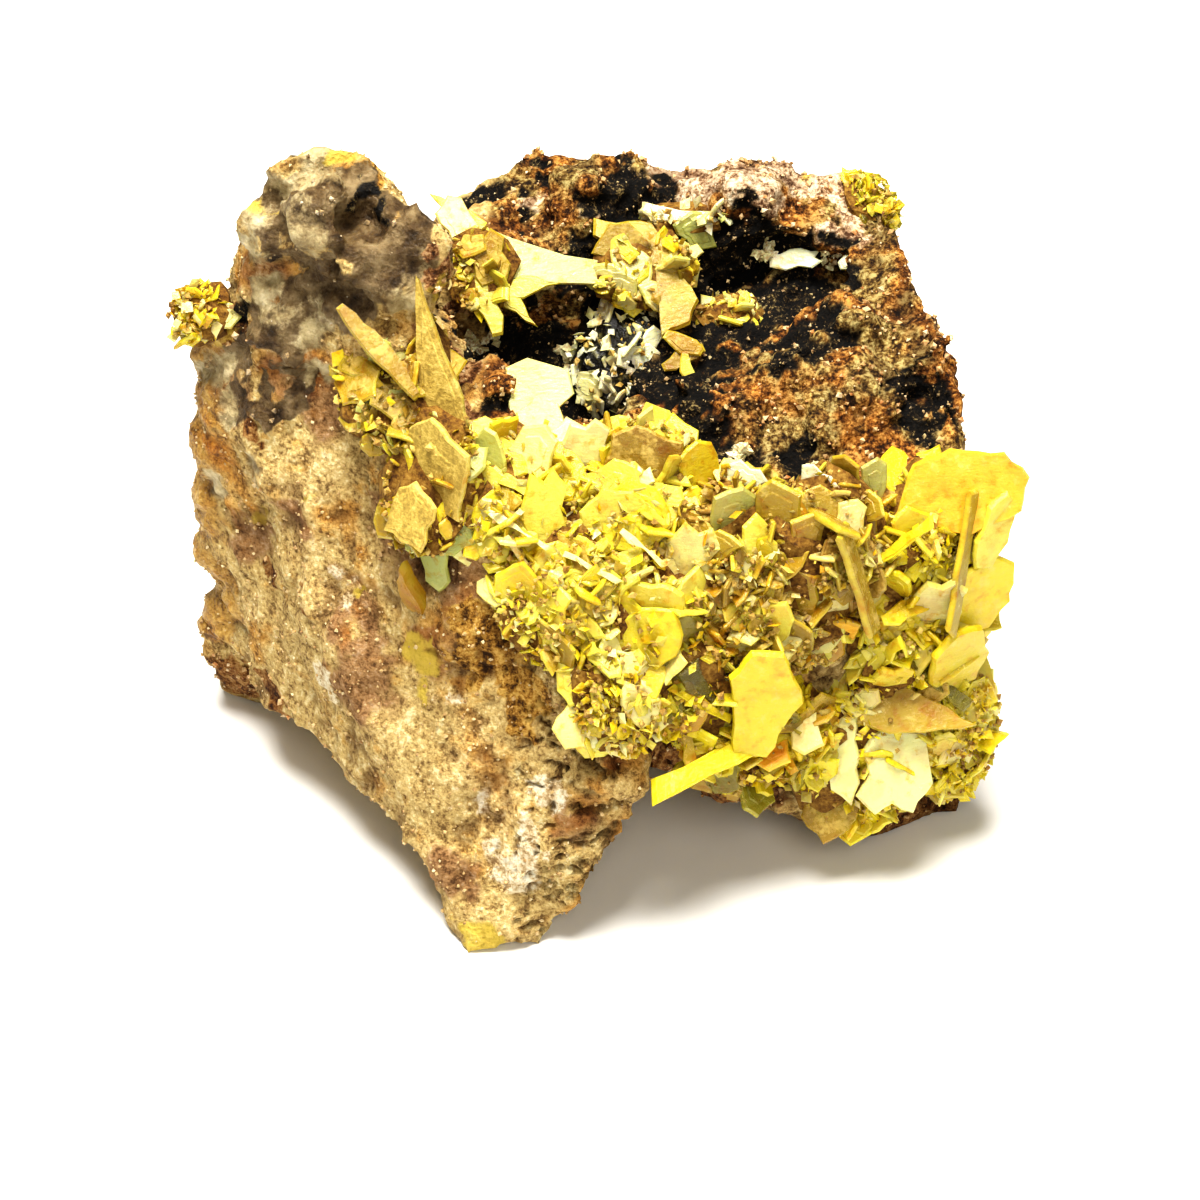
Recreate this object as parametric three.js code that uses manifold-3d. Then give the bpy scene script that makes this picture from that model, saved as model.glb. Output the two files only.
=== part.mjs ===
// A hand specimen of wulfenite: thin yellow tablets of lead molybdate grown over a broken block of brown
// limonite, with a black manganese-stained hollow in its top. Millimetres, +Z up, front towards -Y.
//
// The rock is one solid: chipped blocks and nodules are joined, hollows and pits are cut out, and the
// result is split into small facets and roughened. Crystals that grew into each other are one solid too:
// a low crust on the rock, the large crystals one by one, and the small ones scattered over the crust.

import * as THREE from "three";
import { ConvexGeometry } from "three/addons/geometries/ConvexGeometry.js";
import { TessellateModifier } from "three/addons/modifiers/TessellateModifier.js";
import { SimplifyModifier } from "three/addons/modifiers/SimplifyModifier.js";
import { ImprovedNoise } from "three/addons/math/ImprovedNoise.js";
import { mergeVertices } from "three/addons/utils/BufferGeometryUtils.js";
import Module from "manifold-3d";

const wasm = await Module();
wasm.setup();

// ---------------------------------------------------------------- driving dimensions, in millimetres

const FACET = 2.6; // longest edge of the rock's surface while it is roughened
const ROCK_DETAIL = 0.18; // share of its corners kept afterwards
const CRYSTAL_DETAIL = 0.565; // share of corners kept where crystals run through each other
const ROUGHNESS = 1.25; // how far the broken faces wander from their blocks
const GAP = 0.5; // clearance left where one solid stops against another
const TABLET = 0.6; // thickness of an ordinary wulfenite tablet
const GROUND = 0; // the level the rock's feet are worn flat at
const CRUST_ROUGHNESS = 0.8; // how far the crust under the crystals does
const WELD = 1.7e-4; // corners closer than this are one corner

// ---------------------------------------------------------------- the rock's blocks, as corner points

const BLOCKS = {
  // The thick wall on the left: its steep sandy face, and the ridge that falls from the peak to the front.
  wall: [
    [-29, 10, 8], [-24, 7.5, 6], [-20.5, 3, 7.5], [-17.5, -1, 8], [-14, -8, 7], [-11.5, -12, 5],
    [-4, -14, 5], [-0.5, -13, 11], [2.5, -12, 12.5], [2.8, -11.7, 19.5], [-8.8, -3, 34], [-11.5, 3, 38],
    [-29, 10, 22], [-28.3, 10.5, 37.4], [-25, 16, 38.5], [-18, 25, 36], [-20, 25, 8], [-3, -4, 9],
    [-6, 4, 10], [-9, 9, 35],
  ],
  peak: [
    [-24, 6, 36], [-23.8, 9, 43], [-23.2, 9.5, 47.8], [-22, 9.6, 50.2], [-19.8, 9, 51.5], [-15.4, 9, 51.1],
    [-13, 8, 48], [-10.5, 5, 44.5], [-11.5, 3.5, 42], [-15, 1.5, 38], [-20, 17, 44], [-13, 15, 42],
    [-26, 14, 37],
  ],
  // The peak's corner that juts out over the hollow.
  beak: [
    [-16.5, 7, 48.5], [-17, 3.5, 46], [-12.6, 7.2, 48.7], [-9.8, 5, 46.6], [-10.2, 6.5, 43.6],
    [-12.5, 3, 43.2], [-15, 3, 42.5], [-14, 9, 42.5],
  ],
  frontLeg: [
    [-11, -13, 0], [-9.5, -15, 0], [-4.2, -14.6, 0], [-3.6, -13, 0], [-5, -9, 0], [-10, -8.5, 0],
    [-13, -10.5, 8], [-2, -13.6, 6], [2, -12.3, 12], [2.5, -11.5, 18], [-5, -4, 12],
  ],
  rearFoot: [
    [-30.2, 12, 0], [-26.5, 10.6, 0], [-22, 13, 0], [-23, 20, 0], [-28.5, 19, 0],
    [-30, 10, 8], [-23.5, 7.5, 6.5], [-19, 12, 9], [-22, 23, 10], [-28, 18, 10],
  ],
  body: [
    [3.5, -9, 12], [7.5, -7.5, 9.5], [12, -4.5, 5], [16, -3, 1.5], [19, -3.4, 0], [27.6, -1.2, 0],
    [27.6, 10, 0], [23, 25, 0], [4, 25.5, 0], [-14, 19, 8], [-5, -1, 10], [4, -9, 20], [5, -1, 30.5],
    [15, -2.5, 30.5], [25.5, 0, 29.5], [25, 9, 33.5], [22.5, 24, 33], [-13, 26, 30], [-9, 5, 32],
    [12, 8, 32],
  ],
  // The slope the brightest crystals stand on, between the wall's ridge and the lip of the hollow.
  slope: [
    [-8.6, -3, 32.5], [-8.5, 3, 33.5], [-1, 4, 32.5], [8, 2.5, 30.5], [8, -4.5, 25], [4, -9.5, 19.5],
    [0, -11, 18.5], [-4, 2, 14], [6, 4, 20],
  ],
  backRim: [
    [-14, 23, 30], [-12, 25, 37.5], [-5, 27.5, 39.8], [2, 27, 40.2], [12, 27, 39.3], [19, 26.5, 38.3],
    [22, 23, 33], [19.5, 20, 36.5], [8, 20.5, 37.5], [-8, 20.5, 35.5], [-5, 27, 28], [18, 27, 27],
  ],
  rightRim: [
    [24, 2, 30], [24, 4, 33], [24, 9, 35.7], [22, 17, 37], [20.5, 24, 37.5],
    [17, 6, 31], [16, 18, 35], [25, 12, 27],
  ],
};

// Limonite nodules, each a centre and a radius: in the hollow, down the left edge, on the peak, along the
// ridge, under the ledge of crystals, and on the back and right faces.
const NODULES = [
  [9, 6, 31.5, 4.5], [13.5, 9, 32, 5], [17.5, 6, 32.5, 4.2], [17, 12.5, 33, 4.6], [9.5, 12, 30.5, 4],
  [-7.6, 4.5, 34.5, 3], [-7.5, 1, 32.5, 3], [-21.5, 8.5, 45, 3.6], [-18, 7, 47, 3.8], [-12.5, 6, 44.5, 2.6],
  [-25.2, 10.5, 30, 3.4], [-25.5, 11, 22.5, 3.6], [-25.8, 11.5, 14.5, 3.8], [-24.5, 11.5, 36, 3.4],
  [-1, -9.5, 20.5, 3.4], [1, -10.5, 14.5, 3.2], [0, 24, 37.5, 4.5], [10, 24, 37, 4.6], [-8, 24, 35.5, 4.4],
  [-8.6, 19.5, 34.5, 5.2], [-1.5, 21, 34, 4.4], [4.2, 19.5, 33, 4.4],
  [23, 15, 14, 6], [22, 8, 23, 5], [8, 22, 13, 6.5], [-8, 20, 20, 7], [16, 22, 24, 6], [-16, 19, 26, 7],
  [22, 20, 5, 6], [-2, 20, 8, 6],
];

// Hollows and pits, each the centre and half axes of an ellipsoid.
const HOLLOWS = [
  { centre: [4, 12, 43], half: [16, 9.5, 12] }, // the broad dish in the top
  { centre: [-2.5, 11, 33], half: [6.5, 6, 8] }, // its black pit, behind the wall
  { centre: [11, 18.5, 34.5], half: [8, 3.2, 3] }, // the slot under the back rim
  { centre: [6, 7, 27.5], half: [5, 4, 5] }, // a stained cleft across the dish
  { centre: [22.5, 5.5, 34.5], half: [2.2, 3, 3.6] }, // a pit by the right rim
  { centre: [-15.5, 5, 47.5], half: [2.2, 2.6, 1.8] }, // a vug in the peak
  { centre: [-3.8, -12.3, 16], half: [1.4, 1.2, 2.6] }, // a pit high on the front leg
  { centre: [-9, -14.2, 6.5], half: [1.6, 1.4, 1.8] }, // and one lower down
];

// ---------------------------------------------------------------- the crystals

// Outlines of single crystals: [across, along], one wide and one long, rooted at along = 0.
const OUTLINES = {
  tablet: [[-0.35, 0], [0.35, 0], [0.5, 0.3], [0.45, 0.85], [0.1, 1], [-0.5, 0.8]],
  blade: [[-0.22, 0], [0.2, 0], [0.5, 0.55], [0.1, 1], [-0.3, 1], [-0.5, 0.75]],
  spear: [[-0.4, 0], [0.4, 0], [0.5, 0.3], [0.1, 1], [-0.5, 0.35]],
  rod: [[-0.5, 0], [0.5, 0], [0.5, 0.93], [-0.5, 1]],
  hexagon: [
    [-0.3, 0], [0.2, 0], [0.27, 0.47], [0.5, 0.65], [0.4, 0.9],
    [-0.2, 1], [-0.5, 0.88], [-0.43, 0.5],
  ],
  crescent: [
    [-0.33, 0], [0.19, 0], [0.5, 0.12], [0.46, 0.31], [0.44, 0.77], [-0.35, 1],
    [-0.5, 0.89], [0.21, 0.67], [0.28, 0.38], [0.04, 0.15],
  ],
  slab: [[-0.5, 0], [0.5, 0.1], [0.46, 0.85], [-0.2, 1], [-0.5, 0.75]],
  oval: [[-0.25, 0], [0.25, 0], [0.5, 0.35], [0.4, 0.85], [0, 1], [-0.42, 0.8], [-0.5, 0.35]],
  band: [[-0.5, 0], [0.45, 0], [0.5, 0.5], [0.42, 1], [0.05, 1], [-0.05, 0.55], [-0.3, 0.2]],
  fan: [[-0.5, 0.12], [0.1, 0], [0.46, 0.3], [0.5, 0.7], [0.3, 0.98], [-0.1, 1], [-0.36, 0.8]],
  lobed: [
    [-0.3, 0], [0.3, 0], [0.5, 0.3], [0.36, 0.55], [0.48, 0.8],
    [0.2, 1], [0, 0.86], [-0.3, 0.96], [-0.5, 0.6],
  ],
};

// A patch is a low dome of crust with crystals scattered over it: its centre, the way it faces, its half
// sizes across and up, its height, how many crystals, their shortest and longest, and how far they lean.
// A large crystal is: outline, root, tip, the way its broad face looks, width, thickness.
const CLUSTERS = {
  front_left_crystals: {
    colour: 0xe8d83c,
    patches: [
      [[-5, -2.4, 31.4], [0.1, -0.6, 0.78], [4.8, 4.6], 3, 4, [3.6, 5.2], 0.5],
      [[2.6, -1.4, 31], [0.1, -0.5, 0.85], [5, 4.4], 3, 4, [3.6, 5.2], 0.5],
      [[-2.6, -7, 26.6], [-0.1, -0.85, 0.5], [4.2, 4.6], 2.6, 3, [3.2, 4.6], 0.5],
      [[3.2, -6.4, 25.6], [0.2, -0.85, 0.5], [4.4, 4.4], 3, 3, [3.2, 4.6], 0.5],
      [[1.2, -10.2, 20.6], [0.3, -0.85, 0.4], [3.2, 4], 2, 2, [2.6, 3.6], 0.5],
    ],
    crystals: [
      ["hexagon", [-4.4, 1, 32.2], [-4, 5.2, 37.1], [0, -0.72, 0.7], 4.8, 0.7],
      ["oval", [-3.4, -2.2, 33.3], [-4.4, 3.6, 35.1], [0, -0.3, 0.95], 3.6, 0.8],
      ["oval", [-5.3, -2.8, 32.8], [-3.6, -1.6, 36.6], [-0.2, -0.75, 0.6], 3.2, 0.8],
      ["tablet", [-6.8, -2.8, 33], [-7.8, -1.6, 36.4], [-0.5, -0.7, 0.5], 2, 0.7],
      ["lobed", [-3.7, -6.4, 28.8], [-3.7, -4.4, 35], [0.2, -0.75, 0.6], 3.2, 0.9],
      ["lobed", [-0.7, -1.4, 32.2], [-1, -0.8, 36.4], [0, -0.75, 0.65], 3.4, 0.8],
      ["slab", [2.7, -2.2, 32.2], [3.4, -1.2, 36], [0.1, -0.6, 0.8], 5, 0.8],
      ["tablet", [7.1, -2, 31.2], [6.2, -1.4, 35], [0.3, -0.75, 0.6], 2.8, 0.8],
      ["rod", [0.8, -3.2, 31.1], [3.6, -2.9, 33.5], [-0.5, -0.7, 0.5], 1, 0.8],
      ["rod", [-6.6, -3.2, 34], [-10.2, -5.4, 29.8], [-0.4, -0.8, 0.5], 0.9, 0.7],
      ["rod", [-8, -2.8, 33.8], [-3.6, -5.2, 33], [0, -0.8, 0.6], 0.9, 0.7],
      ["lobed", [5.4, -6.4, 26.8], [6.8, -5.6, 31.2], [0.1, -0.8, 0.6], 3.8, 0.9],
      ["tablet", [3.4, -8.2, 25.2], [3.8, -8.2, 28.4], [0, -0.6, 0.8], 4.2, 0.9],
      ["tablet", [4.9, -8.4, 22], [5.5, -8.4, 26], [0.25, -0.9, 0.3], 3.4, 0.8],
      ["blade", [2.5, -9, 23], [1.6, -8.2, 27.8], [-0.35, -0.85, 0.4], 2.2, 0.8],
      ["tablet", [4.2, -9.2, 20.2], [4.2, -9.8, 23], [0.1, -0.9, 0.4], 2.4, 0.8],
    ],
  },
  front_right_crystals: {
    colour: 0xc8ae52,
    patches: [
      [[9.6, -3.8, 29], [0, -0.8, 0.6], [3.8, 4], 2.6, 2, [3, 4.2], 0.5],
      [[15, -3.6, 28.6], [0.3, -0.85, 0.4], [4.2, 4.4], 3.4, 3, [3, 4.2], 0.5],
      [[12.6, -5, 23.6], [0.25, -0.95, 0.2], [5, 4.4], 3, 3, [3, 4.2], 0.5],
    ],
    crystals: [
      ["rod", [12.4, -1.7, 31.2], [16.6, -7.6, 31.8], [0.3, 0.5, 0.8], 1.6, 0.9],
      ["rod", [16, -6.8, 31.8], [18.8, -7.6, 23], [0.85, -0.3, 0.3], 1.8, 0.9],
      ["tablet", [8.2, -4.8, 29.2], [9.2, -4.2, 33.4], [0.35, -0.8, 0.45], 3.2, 0.8],
      ["slab", [11.7, -5, 29.2], [12, -4.4, 34], [-0.2, -0.7, 0.6], 3.2, 0.8],
      ["tablet", [13.4, -5.8, 28], [14, -5.4, 32.2], [0.2, -0.85, 0.4], 2.6, 0.8],
      ["slab", [13.6, -6.4, 23.4], [13.5, -6.4, 28.4], [-0.2, -0.9, 0.3], 2.6, 0.8],
      ["lobed", [15.7, -5.4, 23], [16, -6.2, 26.4], [0.3, -0.8, 0.5], 2.8, 0.8],
      ["tablet", [16, -4.6, 20.2], [16.6, -6, 23.4], [0.1, -0.85, 0.5], 3, 0.8],
      ["blade", [19, -2.4, 28.8], [15.8, -3.8, 31.4], [0, -0.8, 0.6], 1.6, 0.7],
    ],
  },
  lower_crystals: {
    colour: 0xe6d02a,
    patches: [
      [[7, -7.8, 18.6], [0.2, -1, 0.1], [3.8, 4.6], 2.4, 3, [3, 4.2], 0.5],
      [[11.4, -6.8, 13.4], [0.25, -1, 0], [5, 4.4], 2.4, 4, [3, 4.4], 0.5],
    ],
    crystals: [
      ["blade", [10.4, -9.6, 14], [11.8, -9.4, 23.4], [0.15, -0.98, 0.2], 5.6, 1.1],
      ["rod", [13.2, -7.2, 14.6], [3.2, -13.6, 14], [0.2, -0.6, 0.8], 1.7, 1.5],
      ["slab", [9.2, -8.4, 19], [5.4, -9.4, 21.8], [0.2, -0.85, 0.45], 2.8, 0.8],
      ["tablet", [7.7, -8.8, 15.6], [7.6, -9.2, 19], [0.1, -0.95, 0.2], 3, 0.8],
      ["tablet", [14.3, -6.6, 15.8], [14.4, -9.6, 14], [0, -0.6, 0.8], 2.4, 0.8],
      ["tablet", [12.2, -7.2, 14.6], [12, -10, 12.8], [-0.3, -0.6, 0.7], 2.6, 0.8],
      ["tablet", [10.5, -5.7, 10.7], [11.4, -9.2, 7.6], [0.5, -0.8, -0.2], 3.4, 0.8],
    ],
  },
  right_corner_crystals: {
    colour: 0xe4c23c,
    patches: [
      [[22.6, -0.8, 26.4], [0.5, -0.8, 0.4], [4.4, 4.6], 3, 3, [3, 4.4], 0.5],
      [[22.2, -2.2, 19], [0.45, -0.9, 0.1], [4.8, 5], 3, 4, [3.2, 4.8], 0.5],
      [[18.9, -5, 10.2], [0.3, -0.95, 0.1], [4.8, 6], 2.6, 4, [3.2, 4.6], 0.5],
      [[25.6, -2, 9.4], [0.6, -0.8, 0], [3, 5.6], 2.4, 4, [3, 4.4], 0.5],
    ],
    crystals: [
      ["fan", [24.3, -2.6, 28], [24.6, 0.2, 33.2], [0.1, -0.75, 0.65], 9.4, 1.3],
      ["rod", [25.2, -1.8, 31.2], [24, -6, 21.4], [0.85, -0.5, 0.2], 1.2, 0.8],
      ["oval", [26.2, -2.8, 25.2], [27.6, -1.4, 30.8], [0.5, -0.7, 0.4], 2.8, 0.9],
      ["lobed", [23, -3.6, 20.8], [23.4, -4.8, 25.8], [0.1, -0.9, 0.4], 3.8, 0.9],
      ["blade", [23, -3.8, 23], [19.2, -5.8, 23.2], [0, -0.6, 0.8], 1.7, 0.8],
      ["tablet", [20.4, -3.2, 23.2], [20, -5.4, 27], [-0.3, -0.8, 0.4], 2.3, 0.8],
      ["oval", [26, -2.8, 19.8], [27, -2.2, 26], [0.4, -0.8, 0.45], 4.8, 1.1],
      ["oval", [25.4, -3.6, 15.2], [24.6, -5, 21.4], [0.3, -0.8, 0.5], 5, 1.1],
      ["lobed", [20.2, -4.2, 15], [20.4, -6.2, 19.2], [0.1, -0.9, 0.45], 3, 0.9],
      ["rod", [18.7, -4.8, 17.2], [20.8, -6.2, 21.6], [-0.6, -0.7, 0.3], 0.9, 0.7],
      ["rod", [21, -4.8, 19.2], [26.2, -4.6, 13.8], [0.4, -0.5, 0.7], 1.2, 0.7],
      ["slab", [17, -6, 14.8], [17.4, -8.6, 8.2], [-0.4, -0.85, 0.3], 2.2, 0.9],
      ["lobed", [21.4, -5.8, 13], [20.6, -8.8, 7.4], [0.2, -0.97, 0.1], 5.8, 1],
      ["spear", [18, -5.6, 15.2], [26.6, -6, 14], [0.1, -0.7, 0.7], 3.6, 0.9],
      ["slab", [18.6, -5.4, 10], [15.4, -8.4, 4.6], [-0.1, -0.8, 0.6], 3.6, 0.9],
    ],
  },
  wall_crystals: {
    colour: 0xb89e5c,
    patches: [
      [[-14, 2.4, 37.2], [-0.1, -0.6, 0.8], [3.4, 4.6], 2, 3, [2.6, 3.8], 0.6],
      [[-11.2, -3, 32.9], [-0.3, -0.75, 0.55], [3, 5], 2, 3, [2.6, 4], 0.6],
    ],
    crystals: [
      ["spear", [-9.6, -1.8, 34.2], [-12.4, 3.6, 45], [-0.5, -0.7, 0.5], 3.2, 0.8],
      ["blade", [-12.1, -0.8, 38.2], [-17.1, 2.6, 43.3], [0.3, -0.6, 0.75], 1.4, 0.8],
      ["slab", [-11.4, -4.2, 31.4], [-10.2, -3.6, 38], [-0.6, -0.65, 0.5], 5.6, 0.9],
      ["slab", [-13.2, -6.4, 30.2], [-11.6, -5.8, 34.6], [-0.6, -0.7, 0.4], 3.4, 0.8],
      ["oval", [-11.4, -4.4, 30], [-10.9, -5.4, 25.2], [-0.5, -0.8, 0.2], 2.4, 0.7],
    ],
  },
  ledge_crystals: {
    colour: 0xd8d65e,
    patches: [
      [[-8.5, 15.4, 37.5], [0.1, -0.75, 0.65], [2.2, 2.8], 2, 3, [2.4, 3.4], 0.6],
      [[3.3, 17.7, 36], [0.1, -0.75, 0.65], [3.4, 2.4], 2.4, 2, [2.4, 3.4], 0.6],
    ],
    crystals: [
      ["band", [-8.6, 16.6, 38.3], [2.4, 18.3, 36.2], [0, -0.7, 0.7], 3.8, 1],
      ["slab", [0.9, 17.6, 36.4], [2.6, 19.4, 38.6], [0.1, -0.75, 0.65], 3.6, 0.9],
      ["crescent", [5.7, 13.9, 33.5], [0.9, 20.8, 39.3], [0.1, -0.72, 0.68], 4.4, 1.1],
      ["lobed", [4, 15.9, 34], [3.2, 18.9, 37.2], [0.2, -0.75, 0.6], 2.6, 0.9],
      ["tablet", [-9.1, 17, 38.4], [-11.1, 19.9, 40.8], [0.2, -0.7, 0.6], 2.4, 0.9],
      ["lobed", [-7.5, 14.3, 37], [-8.3, 16.5, 40.2], [0.1, -0.7, 0.65], 3, 0.9],
      ["blade", [-8.6, 15.2, 38], [-7.4, 12, 34.2], [0.1, -0.8, 0.6], 1.9, 0.8],
      ["spear", [-6.8, 14.9, 36.2], [-2.7, 15.3, 36.7], [0, -0.7, 0.7], 1.7, 0.8],
      ["spear", [-7.2, 14.9, 36.2], [-4.3, 13.2, 34.3], [0, -0.7, 0.7], 1.4, 0.8],
    ],
  },
  pit_crystals: {
    colour: 0xc2cc98,
    patches: [
      [[1, 15.2, 30.2], [-0.3, -0.7, 0.65], [2.8, 3.8], 1.8, 6, [1.6, 2.4], 0.7],
    ],
    crystals: [],
  },
  hollow_crystals: {
    colour: 0xd6d086,
    patches: [
      [[9.4, 17.6, 31.9], [0, -0.3, 0.95], [2.2, 1.6], 2, 4, [2.2, 3.2], 0.7],
    ],
    crystals: [],
  },
  back_rim_crystals: {
    colour: 0xc8cc84,
    patches: [
      [[6, 21.6, 37.8], [0, -0.5, 0.87], [2.8, 0.9], 1.2, 2, [1.6, 2], 0.7],
    ],
    crystals: [
      ["band", [3, 21.8, 38.4], [8.2, 21.2, 38.6], [0, -0.5, 0.86], 1.5, 0.7],
    ],
  },
  rim_corner_crystals: {
    colour: 0xdcc83a,
    patches: [
      [[19.6, 25, 36.9], [0.7, -0.1, 0.7], [1.8, 2.2], 1.6, 3, [1.6, 2.2], 0.4],
    ],
    crystals: [],
  },
  left_edge_crystals: {
    colour: 0xceb23c,
    patches: [
      [[-27.5, 9.9, 37.5], [-0.5, -0.6, 0.6], [1.7, 2], 1.8, 3, [1.8, 2.6], 0.4],
    ],
    crystals: [],
  },
  wall_spear: {
    colour: 0xdca824,
    patches: [],
    crystals: [
      ["spear", [-12.4, -4.2, 22.6], [-13.5, -5.6, 28], [-0.6, -0.75, 0.2], 1.9, 1.6],
    ],
  },
};

// ---------------------------------------------------------------- solids

const noise = new ImprovedNoise();

function solidOf(geometry) {
  const bare = geometry.index ? geometry.toNonIndexed() : geometry.clone();
  for (const name of Object.keys(bare.attributes)) {
    if (name !== "position") bare.deleteAttribute(name);
  }
  const merged = mergeVertices(bare, WELD);
  const triangles = [];
  for (let i = 0; i < merged.index.count; i += 3) {
    const [a, b, c] = merged.index.array.slice(i, i + 3);
    if (a !== b && b !== c && c !== a) triangles.push(a, b, c);
  }
  return new wasm.Manifold(
    new wasm.Mesh({
      numProp: 3,
      vertProperties: merged.attributes.position.array,
      triVerts: new Uint32Array(triangles),
    }),
  );
}

function geometryOf(solid) {
  const mesh = solid.getMesh();
  const points = new Float32Array(mesh.numVert * 3);
  for (let i = 0; i < mesh.numVert; i++) {
    points.set(mesh.vertProperties.subarray(i * mesh.numProp, i * mesh.numProp + 3), i * 3);
  }
  return new THREE.BufferGeometry()
    .setAttribute("position", new THREE.BufferAttribute(points, 3))
    .setIndex(new THREE.BufferAttribute(mesh.triVerts, 1));
}

const joined = (solids) => solids.reduce((sum, solid) => sum.add(solid));

const largestBody = (solid) =>
  solid.decompose().reduce((best, body) => (body.volume() > best.volume() ? body : best));

const vector = ([x, y, z]) => new THREE.Vector3(x, y, z);

// A small repeatable random source, so that every build grows the same crystals.
function randomSource(seed) {
  let state = seed >>> 0;
  return () => {
    state = (state + 0x6d2b79f5) >>> 0;
    let t = state;
    t = Math.imul(t ^ (t >>> 15), t | 1);
    t ^= t + Math.imul(t ^ (t >>> 7), t | 61);
    return ((t ^ (t >>> 14)) >>> 0) / 4294967296;
  };
}

// A closed rounded lump with the half axes given along across, up and facing.
function lump(centre, half, detail, axes = new THREE.Matrix4(), roughness = 0) {
  const geometry = new THREE.IcosahedronGeometry(1, detail);
  geometry.scale(...half);
  geometry.applyMatrix4(axes);
  geometry.translate(...centre);
  return solidOf(roughened(geometry, roughness, 4));
}

// Moves every point of a closed geometry by a smooth random vector that depends on its place alone.
function roughened(geometry, amount, grain) {
  const position = geometry.attributes.position;
  for (let i = 0; i < position.count; i++) {
    const [x, y, z] = [position.getX(i), position.getY(i), position.getZ(i)];
    const wander = (shift) =>
      noise.noise(x / grain + shift, y / grain, z / grain) +
      noise.noise((2.3 * x) / grain, (2.3 * y) / grain + shift, (2.3 * z) / grain) * 0.6 +
      noise.noise((5.1 * x) / grain, (5.1 * y) / grain, (5.1 * z) / grain + shift) * 0.3;
    position.setXYZ(i, x + amount * wander(7.3), y + amount * wander(31.7), z + amount * wander(53.1));
  }
  return geometry;
}

// The same solid with its surface moved out, to cut a clearance in a neighbour.
function grown(solid, distance) {
  const geometry = geometryOf(solid);
  geometry.computeVertexNormals();
  const { position, normal } = geometry.attributes;
  for (let i = 0; i < position.count; i++) {
    position.setXYZ(
      i,
      position.getX(i) + distance * normal.getX(i),
      position.getY(i) + distance * normal.getY(i),
      position.getZ(i) + distance * normal.getZ(i),
    );
  }
  return solidOf(geometry);
}

// The same solid with only the given share of its corners, those that matter most to its shape.
async function simplified(solid, share) {
  const geometry = geometryOf(solid);
  const dropped = Math.floor(geometry.attributes.position.count * (1 - share));
  const coarse = largestBody(solidOf(await new SimplifyModifier().modify(geometry, dropped)));
  return crowdedEdges(coarse) === 0 ? coarse : simplified(solid, share + 0.02);
}

// How many edges are shared by more than two faces: none, on a sound closed body.
function crowdedEdges(solid) {
  const corners = mergeVertices(geometryOf(solid).toNonIndexed(), WELD).index.array;
  const faces = new Map();
  corners.forEach((corner, i) => {
    const next = corners[i % 3 === 2 ? i - 2 : i + 1];
    const edge = `${Math.min(corner, next)} ${Math.max(corner, next)}`;
    faces.set(edge, (faces.get(edge) ?? 0) + 1);
  });
  return [...faces.values()].filter((count) => count > 2).length;
}

// ---------------------------------------------------------------- the rock

async function makeRock() {
  const blocks = Object.values(BLOCKS).map((corners) => solidOf(new ConvexGeometry(corners.map(vector))));
  const nodules = NODULES.map(([x, y, z, r]) => lump([x, y, z], [r, r, r * 0.9], 0));
  const hollows = HOLLOWS.map(({ centre, half }) => lump(centre, half, half[0] > 4 ? 2 : 0));
  const solid = joined([...blocks, ...nodules]).subtract(joined(hollows));
  const faceted = new TessellateModifier(FACET, 14).modify(geometryOf(solid).toNonIndexed());
  const rough = await simplified(solidOf(roughened(faceted, ROUGHNESS, 8)), ROCK_DETAIL);
  const ground = new THREE.BoxGeometry(200, 200, 40);
  ground.translate(0, 0, GROUND - 20);
  return largestBody(rough.subtract(solidOf(ground)));
}

// ---------------------------------------------------------------- crystals

// A flat crystal standing from root to tip, its broad face looking the given way.
function crystal(outline, root, tip, facing, width, thickness, margin) {
  const along = vector(tip).sub(vector(root));
  const length = along.length();
  along.normalize();
  const across = along.clone().cross(vector(facing)).normalize();
  const face = across.clone().cross(along);
  const corners = outline.map(
    ([x, y]) => new THREE.Vector2(x * (width + 2 * margin), y * (length + 2 * margin) - margin),
  );
  const depth = thickness + 2 * margin;
  const geometry = new THREE.ExtrudeGeometry(new THREE.Shape(corners), { depth, bevelEnabled: false });
  geometry.translate(0, 0, -depth / 2);
  geometry.applyMatrix4(new THREE.Matrix4().makeBasis(across, along, face).setPosition(...root));
  return solidOf(geometry);
}

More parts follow.
